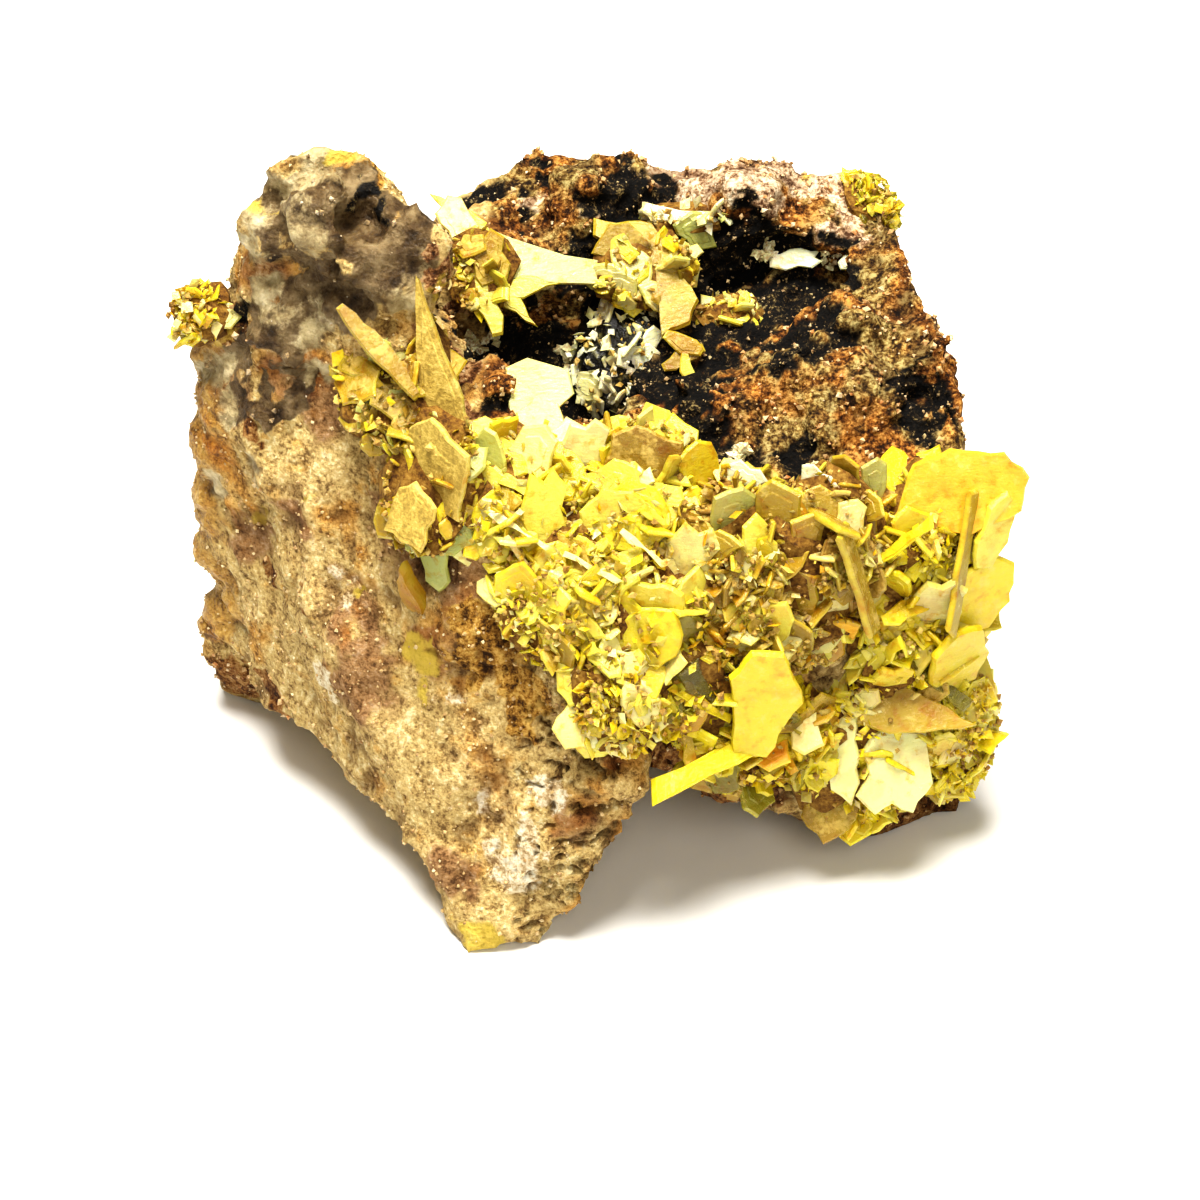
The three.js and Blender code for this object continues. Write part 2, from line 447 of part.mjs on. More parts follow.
// The crystals scattered over one patch of crust.
function scatter([at, facing, half, height, count, length, lean], random, margin) {
  const out = vector(facing).normalize();
  const across = new THREE.Vector3(0, 0, 1).cross(out).normalize();
  const up = out.clone().cross(across);
  const axes = new THREE.Matrix4().makeBasis(across, up, out);
  const crust = [half[0] + margin, half[1] + margin, height * 0.6 + margin];
  const solids = [lump(at, crust, 0, axes, CRUST_ROUGHNESS)];
  const spread = (amount) => (random() * 2 - 1) * amount;
  for (let i = 0; i < count; i++) {
    const turn = i * 2.39996 + spread(0.5);
    const reach = Math.sqrt((i + 0.5) / count) * 0.92;
    const [a, b] = [Math.cos(turn) * reach, Math.sin(turn) * reach];
    const rise = height * 0.6 * Math.sqrt(1 - reach * reach);
    const place = vector(at)
      .addScaledVector(across, a * half[0])
      .addScaledVector(up, b * half[1])
      .addScaledVector(out, rise);
    const outward = out
      .clone()
      .addScaledVector(across, a * 0.6 + spread(lean))
      .addScaledVector(up, b * 0.6 + spread(lean))
      .normalize();
    const aside = new THREE.Vector3(spread(1), spread(1), spread(1)).cross(outward).normalize();
    const lying = i % 2 === 1;
    const [stand, face] = lying ? [aside, outward] : [outward, aside];
    const size = length[0] + random() * (length[1] - length[0]);
    const corners = [];
    for (let k = 0; k < 4 + (i % 2); k++) {
      const angle = ((k + 0.5 + spread(0.2)) * Math.PI) / (2 + (i % 2) / 2);
      corners.push([Math.sin(angle) * 0.5, 0.5 - Math.cos(angle) * 0.5]);
    }
    const root = place.clone().addScaledVector(stand, -size * (lying ? 0.5 : 0.4));
    const tip = root.clone().addScaledVector(stand, size);
    const [width, thickness] = [size * (0.6 + random() * 0.35), TABLET * (0.85 + random() * 0.4)];
    solids.push(crystal(corners, root.toArray(), tip.toArray(), face.toArray(), width, thickness, margin));
  }
  return solids;
}

function makeCluster({ patches, crystals }, seed, margin) {
  const random = randomSource(seed);
  const solids = patches.flatMap((patch) => scatter(patch, random, margin));
  for (const [outline, root, tip, facing, width, thickness] of crystals) {
    solids.push(crystal(OUTLINES[outline], root, tip, facing, width, thickness, margin));
  }
  return joined(solids);
}

// ---------------------------------------------------------------- the specimen

const specimen = new THREE.Group();
specimen.name = "wulfenite";

function show(name, solid, color, roughness) {
  const material = new THREE.MeshStandardMaterial({ color, roughness, metalness: 0 });
  const mesh = new THREE.Mesh(geometryOf(solid), material);
  mesh.name = name;
  specimen.add(mesh);
}

const rock = await makeRock();
show("rock", rock, 0x8a6238, 0.95);

let taken = joined([rock, grown(rock, GAP / 2), grown(rock, GAP)]);
let seed = 0;
for (const [name, cluster] of Object.entries(CLUSTERS)) {
  seed += 1;
  const exposed = largestBody(makeCluster(cluster, seed, 0).subtract(taken));
  show(name, await simplified(exposed, CRYSTAL_DETAIL), cluster.colour, 0.3);
  taken = taken.add(makeCluster(cluster, seed, GAP));
}

// The origin is under the middle of the specimen, on the level it rests on.
const box = new THREE.Box3().setFromObject(specimen);
const middle = box.getCenter(new THREE.Vector3());
specimen.position.set(-middle.x, -middle.y, -box.min.z);

export default specimen;
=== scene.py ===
"""Looks of a wulfenite specimen: thin yellow tablets grown over a broken block of brown limonite.

Lengths are millimetres in the specimen's own coordinates until a mesh is made, which is in metres in the
frame. The rock is the CAD rock remeshed finely and roughened by its minerals. Each group of crystals is
grown again over the same crust, from the same places as in the CAD, with many small crystals added.
"""

import math

import bpy
import numpy as np
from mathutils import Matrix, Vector, noise


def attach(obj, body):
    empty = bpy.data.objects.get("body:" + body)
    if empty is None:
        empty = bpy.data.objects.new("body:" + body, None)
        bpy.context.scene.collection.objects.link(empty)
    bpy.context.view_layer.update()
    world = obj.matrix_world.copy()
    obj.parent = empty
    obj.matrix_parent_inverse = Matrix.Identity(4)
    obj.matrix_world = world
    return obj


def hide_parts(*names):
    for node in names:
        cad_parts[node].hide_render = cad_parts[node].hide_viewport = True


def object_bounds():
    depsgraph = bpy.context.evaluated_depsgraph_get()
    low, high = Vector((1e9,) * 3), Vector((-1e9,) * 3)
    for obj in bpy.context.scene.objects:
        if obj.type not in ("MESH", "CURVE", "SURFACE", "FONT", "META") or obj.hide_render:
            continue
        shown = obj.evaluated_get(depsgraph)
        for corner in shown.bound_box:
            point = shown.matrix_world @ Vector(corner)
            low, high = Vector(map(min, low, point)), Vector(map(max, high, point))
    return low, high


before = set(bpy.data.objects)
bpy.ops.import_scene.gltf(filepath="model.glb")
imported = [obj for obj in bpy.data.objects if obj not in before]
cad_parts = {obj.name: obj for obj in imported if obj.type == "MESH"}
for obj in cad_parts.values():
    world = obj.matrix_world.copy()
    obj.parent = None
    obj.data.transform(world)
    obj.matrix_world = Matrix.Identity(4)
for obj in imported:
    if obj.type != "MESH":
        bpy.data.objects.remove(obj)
cad_low, cad_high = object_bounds()

# ---- driving values, in millimetres

MM = 0.001
SHIFT = np.array([0.552, -6.651, 0.0])  # from the specimen's own coordinates to the frame

VOXEL = 0.42  # cell the rock is remeshed at
BOX_SLACK = 0.4  # how far roughness may pass the CAD box
SOLE = 1.2  # height up to which the roughness fades out, so that the feet stay flat
GRAIN_COUNT = 11000  # mineral grains on the rock
DRUSE_COUNT = 900  # small white crystals on the black stain

TABLET = 0.6  # thickness of an ordinary wulfenite tablet in the CAD
SLIMNESS = 0.6  # a crystal's thickness here as a share of its solid's in the CAD
EDGE_BEVEL, MOST_BEVEL = 0.14, 0.3  # width of the bevelled faces round a tablet, and its largest share
CHIP = 0.9  # length of the stretches that a tablet's edge is broken into
STEP_RISE = 0.05  # height of a growth step on a tablet's face
BEND, TWIST = 0.08, 0.1  # how far a tablet bends over its length, and how far it twists

SWELL = 0.6  # how far the crust of a patch stands out, as a share of the patch's height
FANNING = 0.6  # how far the crystals at a patch's rim lean outwards
CRUST_REACH = 0.5  # how much further than the CAD crust this one goes, into the rock
BROAD, BROAD_SPREAD = 2.4, 3.2  # shortest of the broad small tablets, and how much longer the longest is
SLIM, SLIM_SPREAD = 1.1, 1.6  # the same for the slim ones between them
LYING = 0.6  # share of the small tablets that lie on the crust; the others stand on it
STANDING_SIZE = 0.75  # size of a small tablet that stands, as a share of one that lies
LOOSE = 7  # crumbs and flakes for each small tablet

# ---- minerals, as patches [x, y, z, radius]

MINERALS = {
    "quartz": [
        [-21.5, 8, 49.4, 1.8], [-23.2, 8, 46.4, 1.6], [-18.5, 8.5, 50.5, 2], [-19.5, 4.5, 47.5, 1.8],
        [-12, 4, 43.6, 2], [-22, 7.5, 41, 1.8], [-19, 5, 39.5, 1.6], [-18.5, 5, 36.5, 1.4],
        [-23.5, 7, 44, 1.6], [-10, 26, 30, 5], [14, 26, 12, 6], [-26.5, 9, 33.8, 1.5],
        [-25.8, 6.8, 31.5, 1.2], [-18.6, 4.6, 39.2, 1], [-19.5, 4.3, 36.2, 1.1], [-24.4, 4.6, 28.6, 1.4],
        [-27, 8.2, 24.4, 1.2],
    ],
    "white": [
        [-4, -12, 12, 1.7], [-6, -13.5, 6.5, 2.2], [-5, -13, 9, 1.4], [-8.5, -11, 10, 1.1],
        [-19, -2.5, 14.5, 1.4], [-10, -8, 17.5, 1.1], [-17.5, -1.5, 21.5, 1.2], [20, 17, 36, 1.3],
        [12, 15.5, 33, 0.8], [-4, 25, 12, 4],
    ],
    "grey": [
        [-21.5, 7.5, 48.4, 3], [-17, 5.5, 49.5, 3.4], [-15, 5, 46.5, 3.6], [-13, 5, 46.5, 3],
        [-17.5, 5, 43, 3.4], [-20, 12, 46, 5], [-12, 9, 44, 3], [-19.5, 4.5, 48, 1.6],
        [-20.5, 5, 44.5, 2.6], [-20.5, 5.5, 41, 2.4], [-21, 6, 38, 2], [-25.3, 7.8, 35.6, 1.8],
        [-22.4, 7.1, 39, 2.2], [-20.5, 4.8, 34.8, 1.8], [-22.5, 5, 33.6, 1.8], [-25.4, 6, 32.9, 1.6],
    ],
    "mauve": [
        [-22.5, 7.5, 42, 2.4], [-21.5, 5.5, 39, 2.8], [-20.5, 4.8, 35.6, 2.8], [-18.8, 3.7, 34, 2.4],
        [-26, 8.5, 35, 1.8], [-25.4, 6.6, 32.6, 2], [-17.5, -2.2, 21, 2.2], [-17, -5, 16, 2.6],
        [-16, -4, 18.5, 2], [-11.7, -6.2, 20.7, 2.2], [-9.8, -5.6, 27, 3], [-11.4, -2.2, 33, 2.6],
        [-13.5, -3, 28.5, 3.2], [-25, 5.6, 21, 2.2], [-21.7, 2, 26, 1.6], [-10, -12, 5, 2],
        [-2, -12, 11, 2], [0.7, -11.4, 17, 1.8],
    ],
    "cream": [
        [-20, 1.9, 29.3, 3], [-21, 1, 24.5, 2.8], [-20, -0.9, 20.8, 2.2], [-17.8, -3.3, 19, 1.8],
        [-15, -6.4, 14.4, 2.2], [-9, -10.2, 13.2, 2.4], [-12, -11.7, 5.8, 2], [-26, 5.8, 15, 2],
        [-23.7, 3.3, 28, 2], [-7, -12.5, 7, 2.4], [-6, -11.5, 11, 2],
    ],
    "pink": [
        [6, 26, 39, 2.2], [7, 23, 39.5, 2], [11, 23.5, 41, 2.8], [14.5, 26, 39.5, 3], [18.5, 25.5, 38, 2.8],
        [12, 21.5, 39.5, 1.6], [18, 22, 37, 1.6], [-4.5, 23.5, 37.5, 1], [-0.5, 21, 39.5, 0.9],
    ],
    "orange": [
        [3.5, 6, 33, 1.1], [8, 21, 33.5, 1.2], [14, 20, 32.5, 1], [23.5, 8, 35.2, 0.8], [17, 12, 34, 1],
    ],
    "copper": [
        [-11, 8, 36.5, 2], [-10, 5.5, 36, 2], [-10.5, 2.5, 35.5, 1.6], [-9.5, 15, 35, 1.8],
        [-10, 3.5, 45, 1.8], [-10.5, 5, 41, 2.4],
    ],
    "amber": [
        [-28, 10, 35, 2.6], [-28, 9, 31, 3], [-28.5, 8.5, 26.5, 3], [-29, 9.5, 21.5, 3], [-29, 10, 16, 3],
        [-29, 10.5, 10.5, 3], [-27.5, 8, 13, 2],
    ],
    "rust": [
        [-25, 9, 37.5, 1.8], [-24.4, 4.8, 31.5, 0.9], [-23.5, 4, 18.5, 1.2], [-21.2, 0.3, 19.7, 0.8],
        [-28, 10, 3.5, 3.2], [-24.4, 2.7, 8.4, 1.6], [-4.5, -7.5, 26, 2], [5.5, -8, 12, 3],
        [4, -9, 14.5, 2], [20, -4, 1.5, 5], [10, -7, 6.5, 4], [26, 0, 3, 4], [24, 8, 8, 5], [10, 26, 26, 5],
        [-24, 22, 12, 5],
    ],
    "ochre": [
        [-7, -7.5, 23.5, 3], [-8.2, -7.7, 21, 2.2], [-5, -8.8, 19, 2.4], [-5.5, -9.4, 17, 1.6],
        [0, -11.5, 20.5, 1.6], [-2, 26, 20, 6], [22, 24, 28, 4], [-15, 7.6, 49.4, 1.5],
    ],
    "yellow": [
        [-13, -5, 19.5, 1.4], [-12, -6, 17, 0.8], [-8.5, -15, 1, 1.8], [-25, 5.5, 23, 1.1],
        [-16.5, -1.5, 23, 0.7], [-11.5, -6, 20, 1.2], [19.5, 26, 37.5, 1.6], [15, 27, 39, 1],
        [-27.5, 10, 37.5, 2], [-22, 8.5, 47.3, 0.7], [-16.9, 9.2, 50.7, 0.8], [-20.5, 1.6, 28, 0.8],
        [-10.5, 3.6, 43.6, 1.2],
    ],
    "bare": [  # brown lumps that the black stain leaves bare
        [9.5, 3.5, 34, 2.6], [11.5, 3, 32, 1.4], [10, 6.5, 34.5, 1.4], [14, 5.5, 34, 2.4],
        [16.5, 4, 34, 2.4], [17, 7, 35.5, 1.8], [14.5, 14.5, 34, 1.4], [19.5, 11.5, 36, 2.2],
        [21, 9, 34.5, 1.6], [22.5, 11.5, 35.5, 2], [21.5, 15.5, 36.5, 1.6], [19, 3, 32, 2],
        [22, 1.5, 31, 2], [15.5, 2.5, 33, 1.4], [20.5, 19, 36.5, 2],
    ],
}
BLACK = [  # manganese stain
    [-14.5, 7, 48.5, 1.3], [-13.5, 6, 47.5, 0.8], [-18, 4, 39, 0.7], [-9.5, 24, 38, 2.4],
    [1.5, 18, 33.5, 3], [7, 4.5, 34, 3.2], [8, 2.5, 33, 2.4], [4.5, 19.5, 35.5, 2.4], [10, 21, 34.5, 3],
    [14.5, 21.5, 35, 2.4], [3, 24, 39.5, 2.8], [0.5, 27, 40, 2.2], [-4.5, 25.5, 39, 1.2],
    [17.5, 10, 36, 1.2], [13, 13, 33.5, 1.2], [9.5, 0.5, 31.5, 1.8], [13, 1.5, 31.5, 2],
    [17, -2.5, 30.5, 2], [19, -2.5, 27.5, 1.2], [-7, 2.5, 35.5, 1.4], [1.5, 21, 38, 2], [7, 20.5, 37, 1.4],
    [18, 21, 36.5, 1], [-10.9, 22.3, 36.9, 2], [-5, 22, 38.5, 1.6], [20, 25, 18, 3], [-20, 24, 25, 3],
    [-24.8, 8.8, 38.4, 1.3],
]
PIT_CORE = [[-2.5, 12, 30, 8], [7, 2.5, 33, 3], [12, 21.5, 35, 4]]  # where the stain covers the lumps too
DRUSE = [  # small white crystals scattered over the black
    [-1.7, 16, 28.9, 2.4], [0, 14.6, 28.2, 2], [1.1, 15.3, 30.8, 2], [2.9, 16.6, 32.5, 2.2],
    [4, 18.1, 33.2, 1.8], [-8.7, 15.9, 30.8, 1.8], [0.7, 13.5, 27.6, 1.6], [12.5, 21.4, 35.1, 1.6],
    [16.8, 21.6, 34.5, 1.4], [6.5, 13, 33, 1.2], [9.5, 1.5, 31.8, 1.2], [14.5, 1, 31.6, 1.2],
]
HOLLOW_STAIN = [  # ellipsoids the black stain fills: centre and half axes
    [[4, 12, 43], [17.5, 10.6, 13.2]],
    [[-2.5, 11, 33], [7.6, 7, 9]],
    [[11, 18.5, 34.5], [9, 4.2, 4]],
    [[22.5, 5.5, 34.5], [2.5, 3.2, 4]],
]

# ---- crystals

STYLES = {  # tint, dust, clearness
    "lemon": [(0.88, 0.69, 0.035), 0.06, 0.3],
    "vivid": [(0.9, 0.72, 0.02), 0.04, 0.25],
    "bright": [(0.86, 0.73, 0.12), 0.05, 0.2],
    "cream": [(0.86, 0.77, 0.32), 0.1, 0.15],
    "white": [(0.96, 0.9, 0.42), 0.05, 0.1],
    "green": [(0.62, 0.64, 0.2), 0.04, 0.3],
    "olive": [(0.5, 0.45, 0.05), 0.08, 0.6],
    "honey": [(0.8, 0.45, 0.03), 0.12, 0.4],
    "orange": [(0.86, 0.44, 0.04), 0.1, 0.1],
    "tan": [(0.44, 0.3, 0.035), 0.35, 0.1],
    "dusty": [(0.33, 0.21, 0.035), 0.65, 0.1],
    "druse": [(0.9, 0.88, 0.58), 0.05, 0.1],
    "sandy": [(0.62, 0.5, 0.12), 1.7, 0.1],
    "pale": [(0.84, 0.82, 0.38), 0.0, 0.2],
}
PALE = {"pale", "druse", "white", "green"}  # styles whose rims get little painted glow, hardly yellower than their faces
RIM_GLOW_TINT = np.array([0.97, 0.86, 0.08])  # painted glow: a lighter, yellower rim stands in for the light that gathers in a tablet's rim
CRUST_AND_GAP_SHADE_TINT = (0.03, 0.013, 0.001)  # the earthy crust between the crystals, made darker as painted shade in the gaps between them
CRUMB_TINTS = np.array([[0.5, 0.35, 0.1], [0.34, 0.22, 0.06], [0.7, 0.55, 0.17], [0.2, 0.11, 0.03]])
DRUSE_TINTS = np.array([[0.8, 0.8, 0.5], [0.92, 0.9, 0.68], [0.7, 0.7, 0.4]])
SAND, LUMPS, SOOT, GLASS = range(4)  # kinds of rock grain, and five tints of each
GRAIN_TINTS = np.array([
    [[0.58, 0.42, 0.19], [0.68, 0.53, 0.28], [0.44, 0.28, 0.11], [0.76, 0.65, 0.4], [0.3, 0.17, 0.06]],
    [[0.5, 0.27, 0.1], [0.64, 0.43, 0.22], [0.28, 0.12, 0.03], [0.76, 0.62, 0.42], [0.42, 0.16, 0.04]],
    [[0.02, 0.015, 0.01], [0.1, 0.06, 0.02], [0.03, 0.02, 0.015], [0.4, 0.34, 0.18], [0.16, 0.07, 0.02]],
    [[0.4, 0.34, 0.24], [0.24, 0.18, 0.11], [0.55, 0.5, 0.4], [0.15, 0.11, 0.07], [0.46, 0.38, 0.24]],
])

# Outlines of single crystals: [across, along], one wide and one long, rooted at along = 0.
OUTLINES = {
    "tablet": [[-0.35, 0], [0.35, 0], [0.5, 0.3], [0.45, 0.85], [0.1, 1], [-0.5, 0.8]],
    "blade": [[-0.22, 0], [0.2, 0], [0.5, 0.55], [0.1, 1], [-0.3, 1], [-0.5, 0.75]],
    "spear": [[-0.4, 0], [0.4, 0], [0.5, 0.3], [0.1, 1], [-0.5, 0.35]],
    "rod": [[-0.5, 0], [0.5, 0], [0.5, 0.93], [-0.5, 1]],
    "hexagon": [
        [-0.3, 0], [0.2, 0], [0.27, 0.47], [0.5, 0.65], [0.4, 0.9], [-0.2, 1], [-0.5, 0.88], [-0.43, 0.5],
    ],
    "crescent": [
        [-0.33, 0], [0.19, 0], [0.5, 0.12], [0.46, 0.31], [0.44, 0.77], [-0.35, 1], [-0.5, 0.89],
        [0.21, 0.67], [0.28, 0.38], [0.04, 0.15],
    ],
    "slab": [[-0.5, 0], [0.5, 0.1], [0.46, 0.85], [-0.2, 1], [-0.5, 0.75]],
    "oval": [[-0.25, 0], [0.25, 0], [0.5, 0.35], [0.4, 0.85], [0, 1], [-0.42, 0.8], [-0.5, 0.35]],
    "band": [[-0.5, 0], [0.45, 0], [0.5, 0.5], [0.42, 1], [0.05, 1], [-0.05, 0.55], [-0.3, 0.2]],
    "fan": [[-0.5, 0.12], [0.1, 0], [0.46, 0.3], [0.5, 0.7], [0.3, 0.98], [-0.1, 1], [-0.36, 0.8]],
    "lobed": [
        [-0.3, 0], [0.3, 0], [0.5, 0.3], [0.36, 0.55], [0.48, 0.8], [0.2, 1], [0, 0.86], [-0.3, 0.96],
        [-0.5, 0.6],
    ],
}

# A patch of crust: centre, the way it faces, half sizes across and up, height, how many crystals, their
# shortest and longest, how far they lean, and how many small ones are added. A large crystal: outline,
# root, tip, the way its broad face looks, width, thickness and style. Slivers are small crystals too thin
# for the CAD, given in the same way. "mix" is what the crystals of the patches are made of. A cluster may
# also have a "crust" of its own tint, a lower "swell", and "bare", the share of the small ones that keep
# off the faces of the large.
CLUSTERS = {}
CLUSTERS["front_left_crystals"] = {
    "mix": "bright lemon cream bright white lemon bright tan".split(),
    "patches": [
        [[-5, -2.4, 31.4], [0.1, -0.6, 0.78], [4.8, 4.6], 3, 4, [3.6, 5.2], 0.5, 190],
        [[2.6, -1.4, 31], [0.1, -0.5, 0.85], [5, 4.4], 3, 4, [3.6, 5.2], 0.5, 190],
        [[-2.6, -7, 26.6], [-0.1, -0.85, 0.5], [4.2, 4.6], 2.6, 3, [3.2, 4.6], 0.5, 190],
        [[3.2, -6.4, 25.6], [0.2, -0.85, 0.5], [4.4, 4.4], 3, 3, [3.2, 4.6], 0.5, 170],
        [[1.2, -10.2, 20.6], [0.3, -0.85, 0.4], [3.2, 4], 2, 2, [2.6, 3.6], 0.5, 110],
    ],
    "crystals": [
        ["hexagon", [-4.4, 1, 32.2], [-4, 5.2, 37.1], [0, -0.72, 0.7], 4.8, 0.7, "pale"],
        ["oval", [-3.4, -2.2, 33.3], [-4.4, 3.6, 35.1], [0, -0.3, 0.95], 3.6, 0.8, "cream"],
        ["oval", [-5.3, -2.8, 32.8], [-3.6, -1.6, 36.6], [-0.2, -0.75, 0.6], 3.2, 0.8, "cream"],
        ["tablet", [-6.8, -2.8, 33], [-7.8, -1.6, 36.4], [-0.5, -0.7, 0.5], 2, 0.7, "green"],
        ["lobed", [-3.7, -6.4, 28.8], [-3.7, -4.4, 35], [0.2, -0.75, 0.6], 3.2, 0.9, "bright"],
        ["lobed", [-0.7, -1.4, 32.2], [-1, -0.8, 36.4], [0, -0.75, 0.65], 3.4, 0.8, "white"],
        ["slab", [2.7, -2.2, 32.2], [3.4, -1.2, 36], [0.1, -0.6, 0.8], 5, 0.8, "dusty"],
        ["tablet", [7.1, -2, 31.2], [6.2, -1.4, 35], [0.3, -0.75, 0.6], 2.8, 0.8, "lemon"],
        ["rod", [0.8, -3.2, 31.1], [3.6, -2.9, 33.5], [-0.5, -0.7, 0.5], 1, 0.8, "white"],
        ["rod", [-6.6, -3.2, 34], [-10.2, -5.4, 29.8], [-0.4, -0.8, 0.5], 0.9, 0.7, "bright"],
        ["rod", [-8, -2.8, 33.8], [-3.6, -5.2, 33], [0, -0.8, 0.6], 0.9, 0.7, "bright"],
        ["lobed", [5.4, -6.4, 26.8], [6.8, -5.6, 31.2], [0.1, -0.8, 0.6], 3.8, 0.9, "cream"],
        ["tablet", [3.4, -8.2, 25.2], [3.8, -8.2, 28.4], [0, -0.6, 0.8], 4.2, 0.9, "bright"],
        ["tablet", [4.9, -8.4, 22], [5.5, -8.4, 26], [0.25, -0.9, 0.3], 3.4, 0.8, "olive"],
        ["blade", [2.5, -9, 23], [1.6, -8.2, 27.8], [-0.35, -0.85, 0.4], 2.2, 0.8, "lemon"],
        ["tablet", [4.2, -9.2, 20.2], [4.2, -9.8, 23], [0.1, -0.9, 0.4], 2.4, 0.8, "olive"],
    ],
    "slivers": [
        ["rod", [-7.8, -6, 29.4], [-6.7, -5.2, 33], [-0.3, -0.8, 0.4], 0.9, 0.3, "lemon"],
        ["rod", [0.6, -10.6, 23], [-3.8, -10.4, 23], [0, -0.5, 0.8], 0.7, 0.5, "bright"],
        ["blade", [-0.2, -10.8, 23.2], [-0.3, -12.6, 20.8], [0.2, -0.9, 0.4], 0.9, 0.4, "bright"],
        ["lobed", [-0.6, -10.4, 22.8], [0.2, -10.8, 24.8], [0.1, -0.8, 0.6], 1.6, 0.3, "bright"],
        ["rod", [-3.7, -7.8, 29], [0.2, -10.4, 25.2], [-0.5, -0.7, 0.5], 0.7, 0.4, "bright"],
        ["rod", [-2.6, -8.8, 26.8], [0, -8.8, 30.4], [0.5, -0.7, 0.5], 0.5, 0.3, "lemon"],
        ["rod", [-5, -6.6, 29.2], [-0.8, -8.8, 28.8], [0, -0.7, 0.7], 0.5, 0.3, "cream"],
        ["rod", [-9.4, -4.8, 30.2], [-6.2, -6.6, 29.2], [0, -0.8, 0.6], 0.5, 0.3, "cream"],
        ["oval", [-2.2, -8.8, 25.6], [-2, -9.4, 28], [0.2, -0.8, 0.5], 1.8, 0.3, "cream"],
        ["rod", [-7.4, -5.4, 32.2], [-3.2, -7.8, 30.8], [0, -0.8, 0.6], 0.4, 0.3, "white"],
        ["rod", [-6.2, -7, 31.4], [-4.2, -8, 28.2], [-0.3, -0.8, 0.5], 0.4, 0.3, "white"],
        ["rod", [-2.4, -7.6, 30.4], [1.4, -8.8, 28.8], [0, -0.8, 0.6], 0.4, 0.3, "white"],
        ["rod", [1.4, -6.4, 31.4], [4.4, -7.4, 29], [0.2, -0.8, 0.5], 0.4, 0.3, "white"],
    ],
}
CLUSTERS["front_right_crystals"] = {
    "mix": "tan dusty tan cream dusty honey tan bright".split(),
    "patches": [
        [[9.6, -3.8, 29], [0, -0.8, 0.6], [3.8, 4], 2.6, 2, [3, 4.2], 0.5, 170],
        [[15, -3.6, 28.6], [0.3, -0.85, 0.4], [4.2, 4.4], 3.4, 3, [3, 4.2], 0.5, 225],
        [[12.6, -5, 23.6], [0.25, -0.95, 0.2], [5, 4.4], 3, 3, [3, 4.2], 0.5, 250],
    ],
    "crystals": [
        ["rod", [12.4, -1.7, 31.2], [16.6, -7.6, 31.8], [0.3, 0.5, 0.8], 1.6, 0.9, "tan"],
        ["rod", [16, -6.8, 31.8], [18.8, -7.6, 23], [0.85, -0.3, 0.3], 1.8, 0.9, "tan"],
        ["tablet", [8.2, -4.8, 29.2], [9.2, -4.2, 33.4], [0.35, -0.8, 0.45], 3.2, 0.8, "green"],
        ["slab", [11.7, -5, 29.2], [12, -4.4, 34], [-0.2, -0.7, 0.6], 3.2, 0.8, "tan"],
        ["tablet", [13.4, -5.8, 28], [14, -5.4, 32.2], [0.2, -0.85, 0.4], 2.6, 0.8, "tan"],
        ["slab", [13.6, -6.4, 23.4], [13.5, -6.4, 28.4], [-0.2, -0.9, 0.3], 2.6, 0.8, "tan"],
        ["lobed", [15.7, -5.4, 23], [16, -6.2, 26.4], [0.3, -0.8, 0.5], 2.8, 0.8, "cream"],
        ["tablet", [16, -4.6, 20.2], [16.6, -6, 23.4], [0.1, -0.85, 0.5], 3, 0.8, "orange"],
        ["blade", [19, -2.4, 28.8], [15.8, -3.8, 31.4], [0, -0.8, 0.6], 1.6, 0.7, "olive"],
    ],
    "slivers": [
        ["rod", [18, -4.4, 26.4], [22.4, -5.2, 31.4], [-0.5, -0.7, 0.5], 0.8, 0.7, "lemon"],
        ["tablet", [18.4, -1.8, 30.2], [18.5, -1, 33.4], [0.2, -0.8, 0.5], 1.9, 0.6, "green"],
        ["oval", [11, -6.4, 28.2], [11.2, -6.2, 30.8], [-0.3, -0.8, 0.5], 1.7, 0.3, "lemon"],
        ["lobed", [9.2, -2.8, 31.8], [10.2, -2.4, 33.8], [0, -0.7, 0.7], 3, 0.3, "druse"],
        ["lobed", [14.2, -3, 32.2], [15, -2.8, 33.6], [0, -0.6, 0.8], 3, 0.3, "druse"],
        ["rod", [9.6, -6.6, 25.2], [12.6, -7.2, 26.2], [0, -0.6, 0.8], 0.6, 0.3, "dusty"],
        ["rod", [10.4, -7, 22.6], [11.4, -7.4, 26.4], [0.6, -0.6, 0.4], 0.6, 0.3, "tan"],
        ["slab", [8.6, -6.4, 25.4], [9.4, -6.6, 28], [-0.3, -0.8, 0.5], 2, 0.3, "dusty"],
        ["slab", [14.2, -5.4, 30.8], [15.2, -3.8, 33], [0.1, -0.7, 0.7], 2.8, 0.4, "tan"],
        ["tablet", [16.4, -5.8, 30.2], [17, -4.2, 32.4], [0.3, -0.7, 0.6], 2.2, 0.4, "cream"],
        ["tablet", [12.6, -5.2, 31], [13, -3.8, 33], [0, -0.7, 0.7], 1.8, 0.3, "lemon"],
        ["oval", [15.4, -6.6, 28.4], [15.8, -6, 30.8], [0.3, -0.85, 0.4], 1.9, 0.3, "dusty"],
        ["tablet", [13.2, -5.4, 25.6], [13.6, -5.2, 28.4], [-0.2, -0.8, 0.5], 2.2, 0.4, "dusty"],
    ],
}
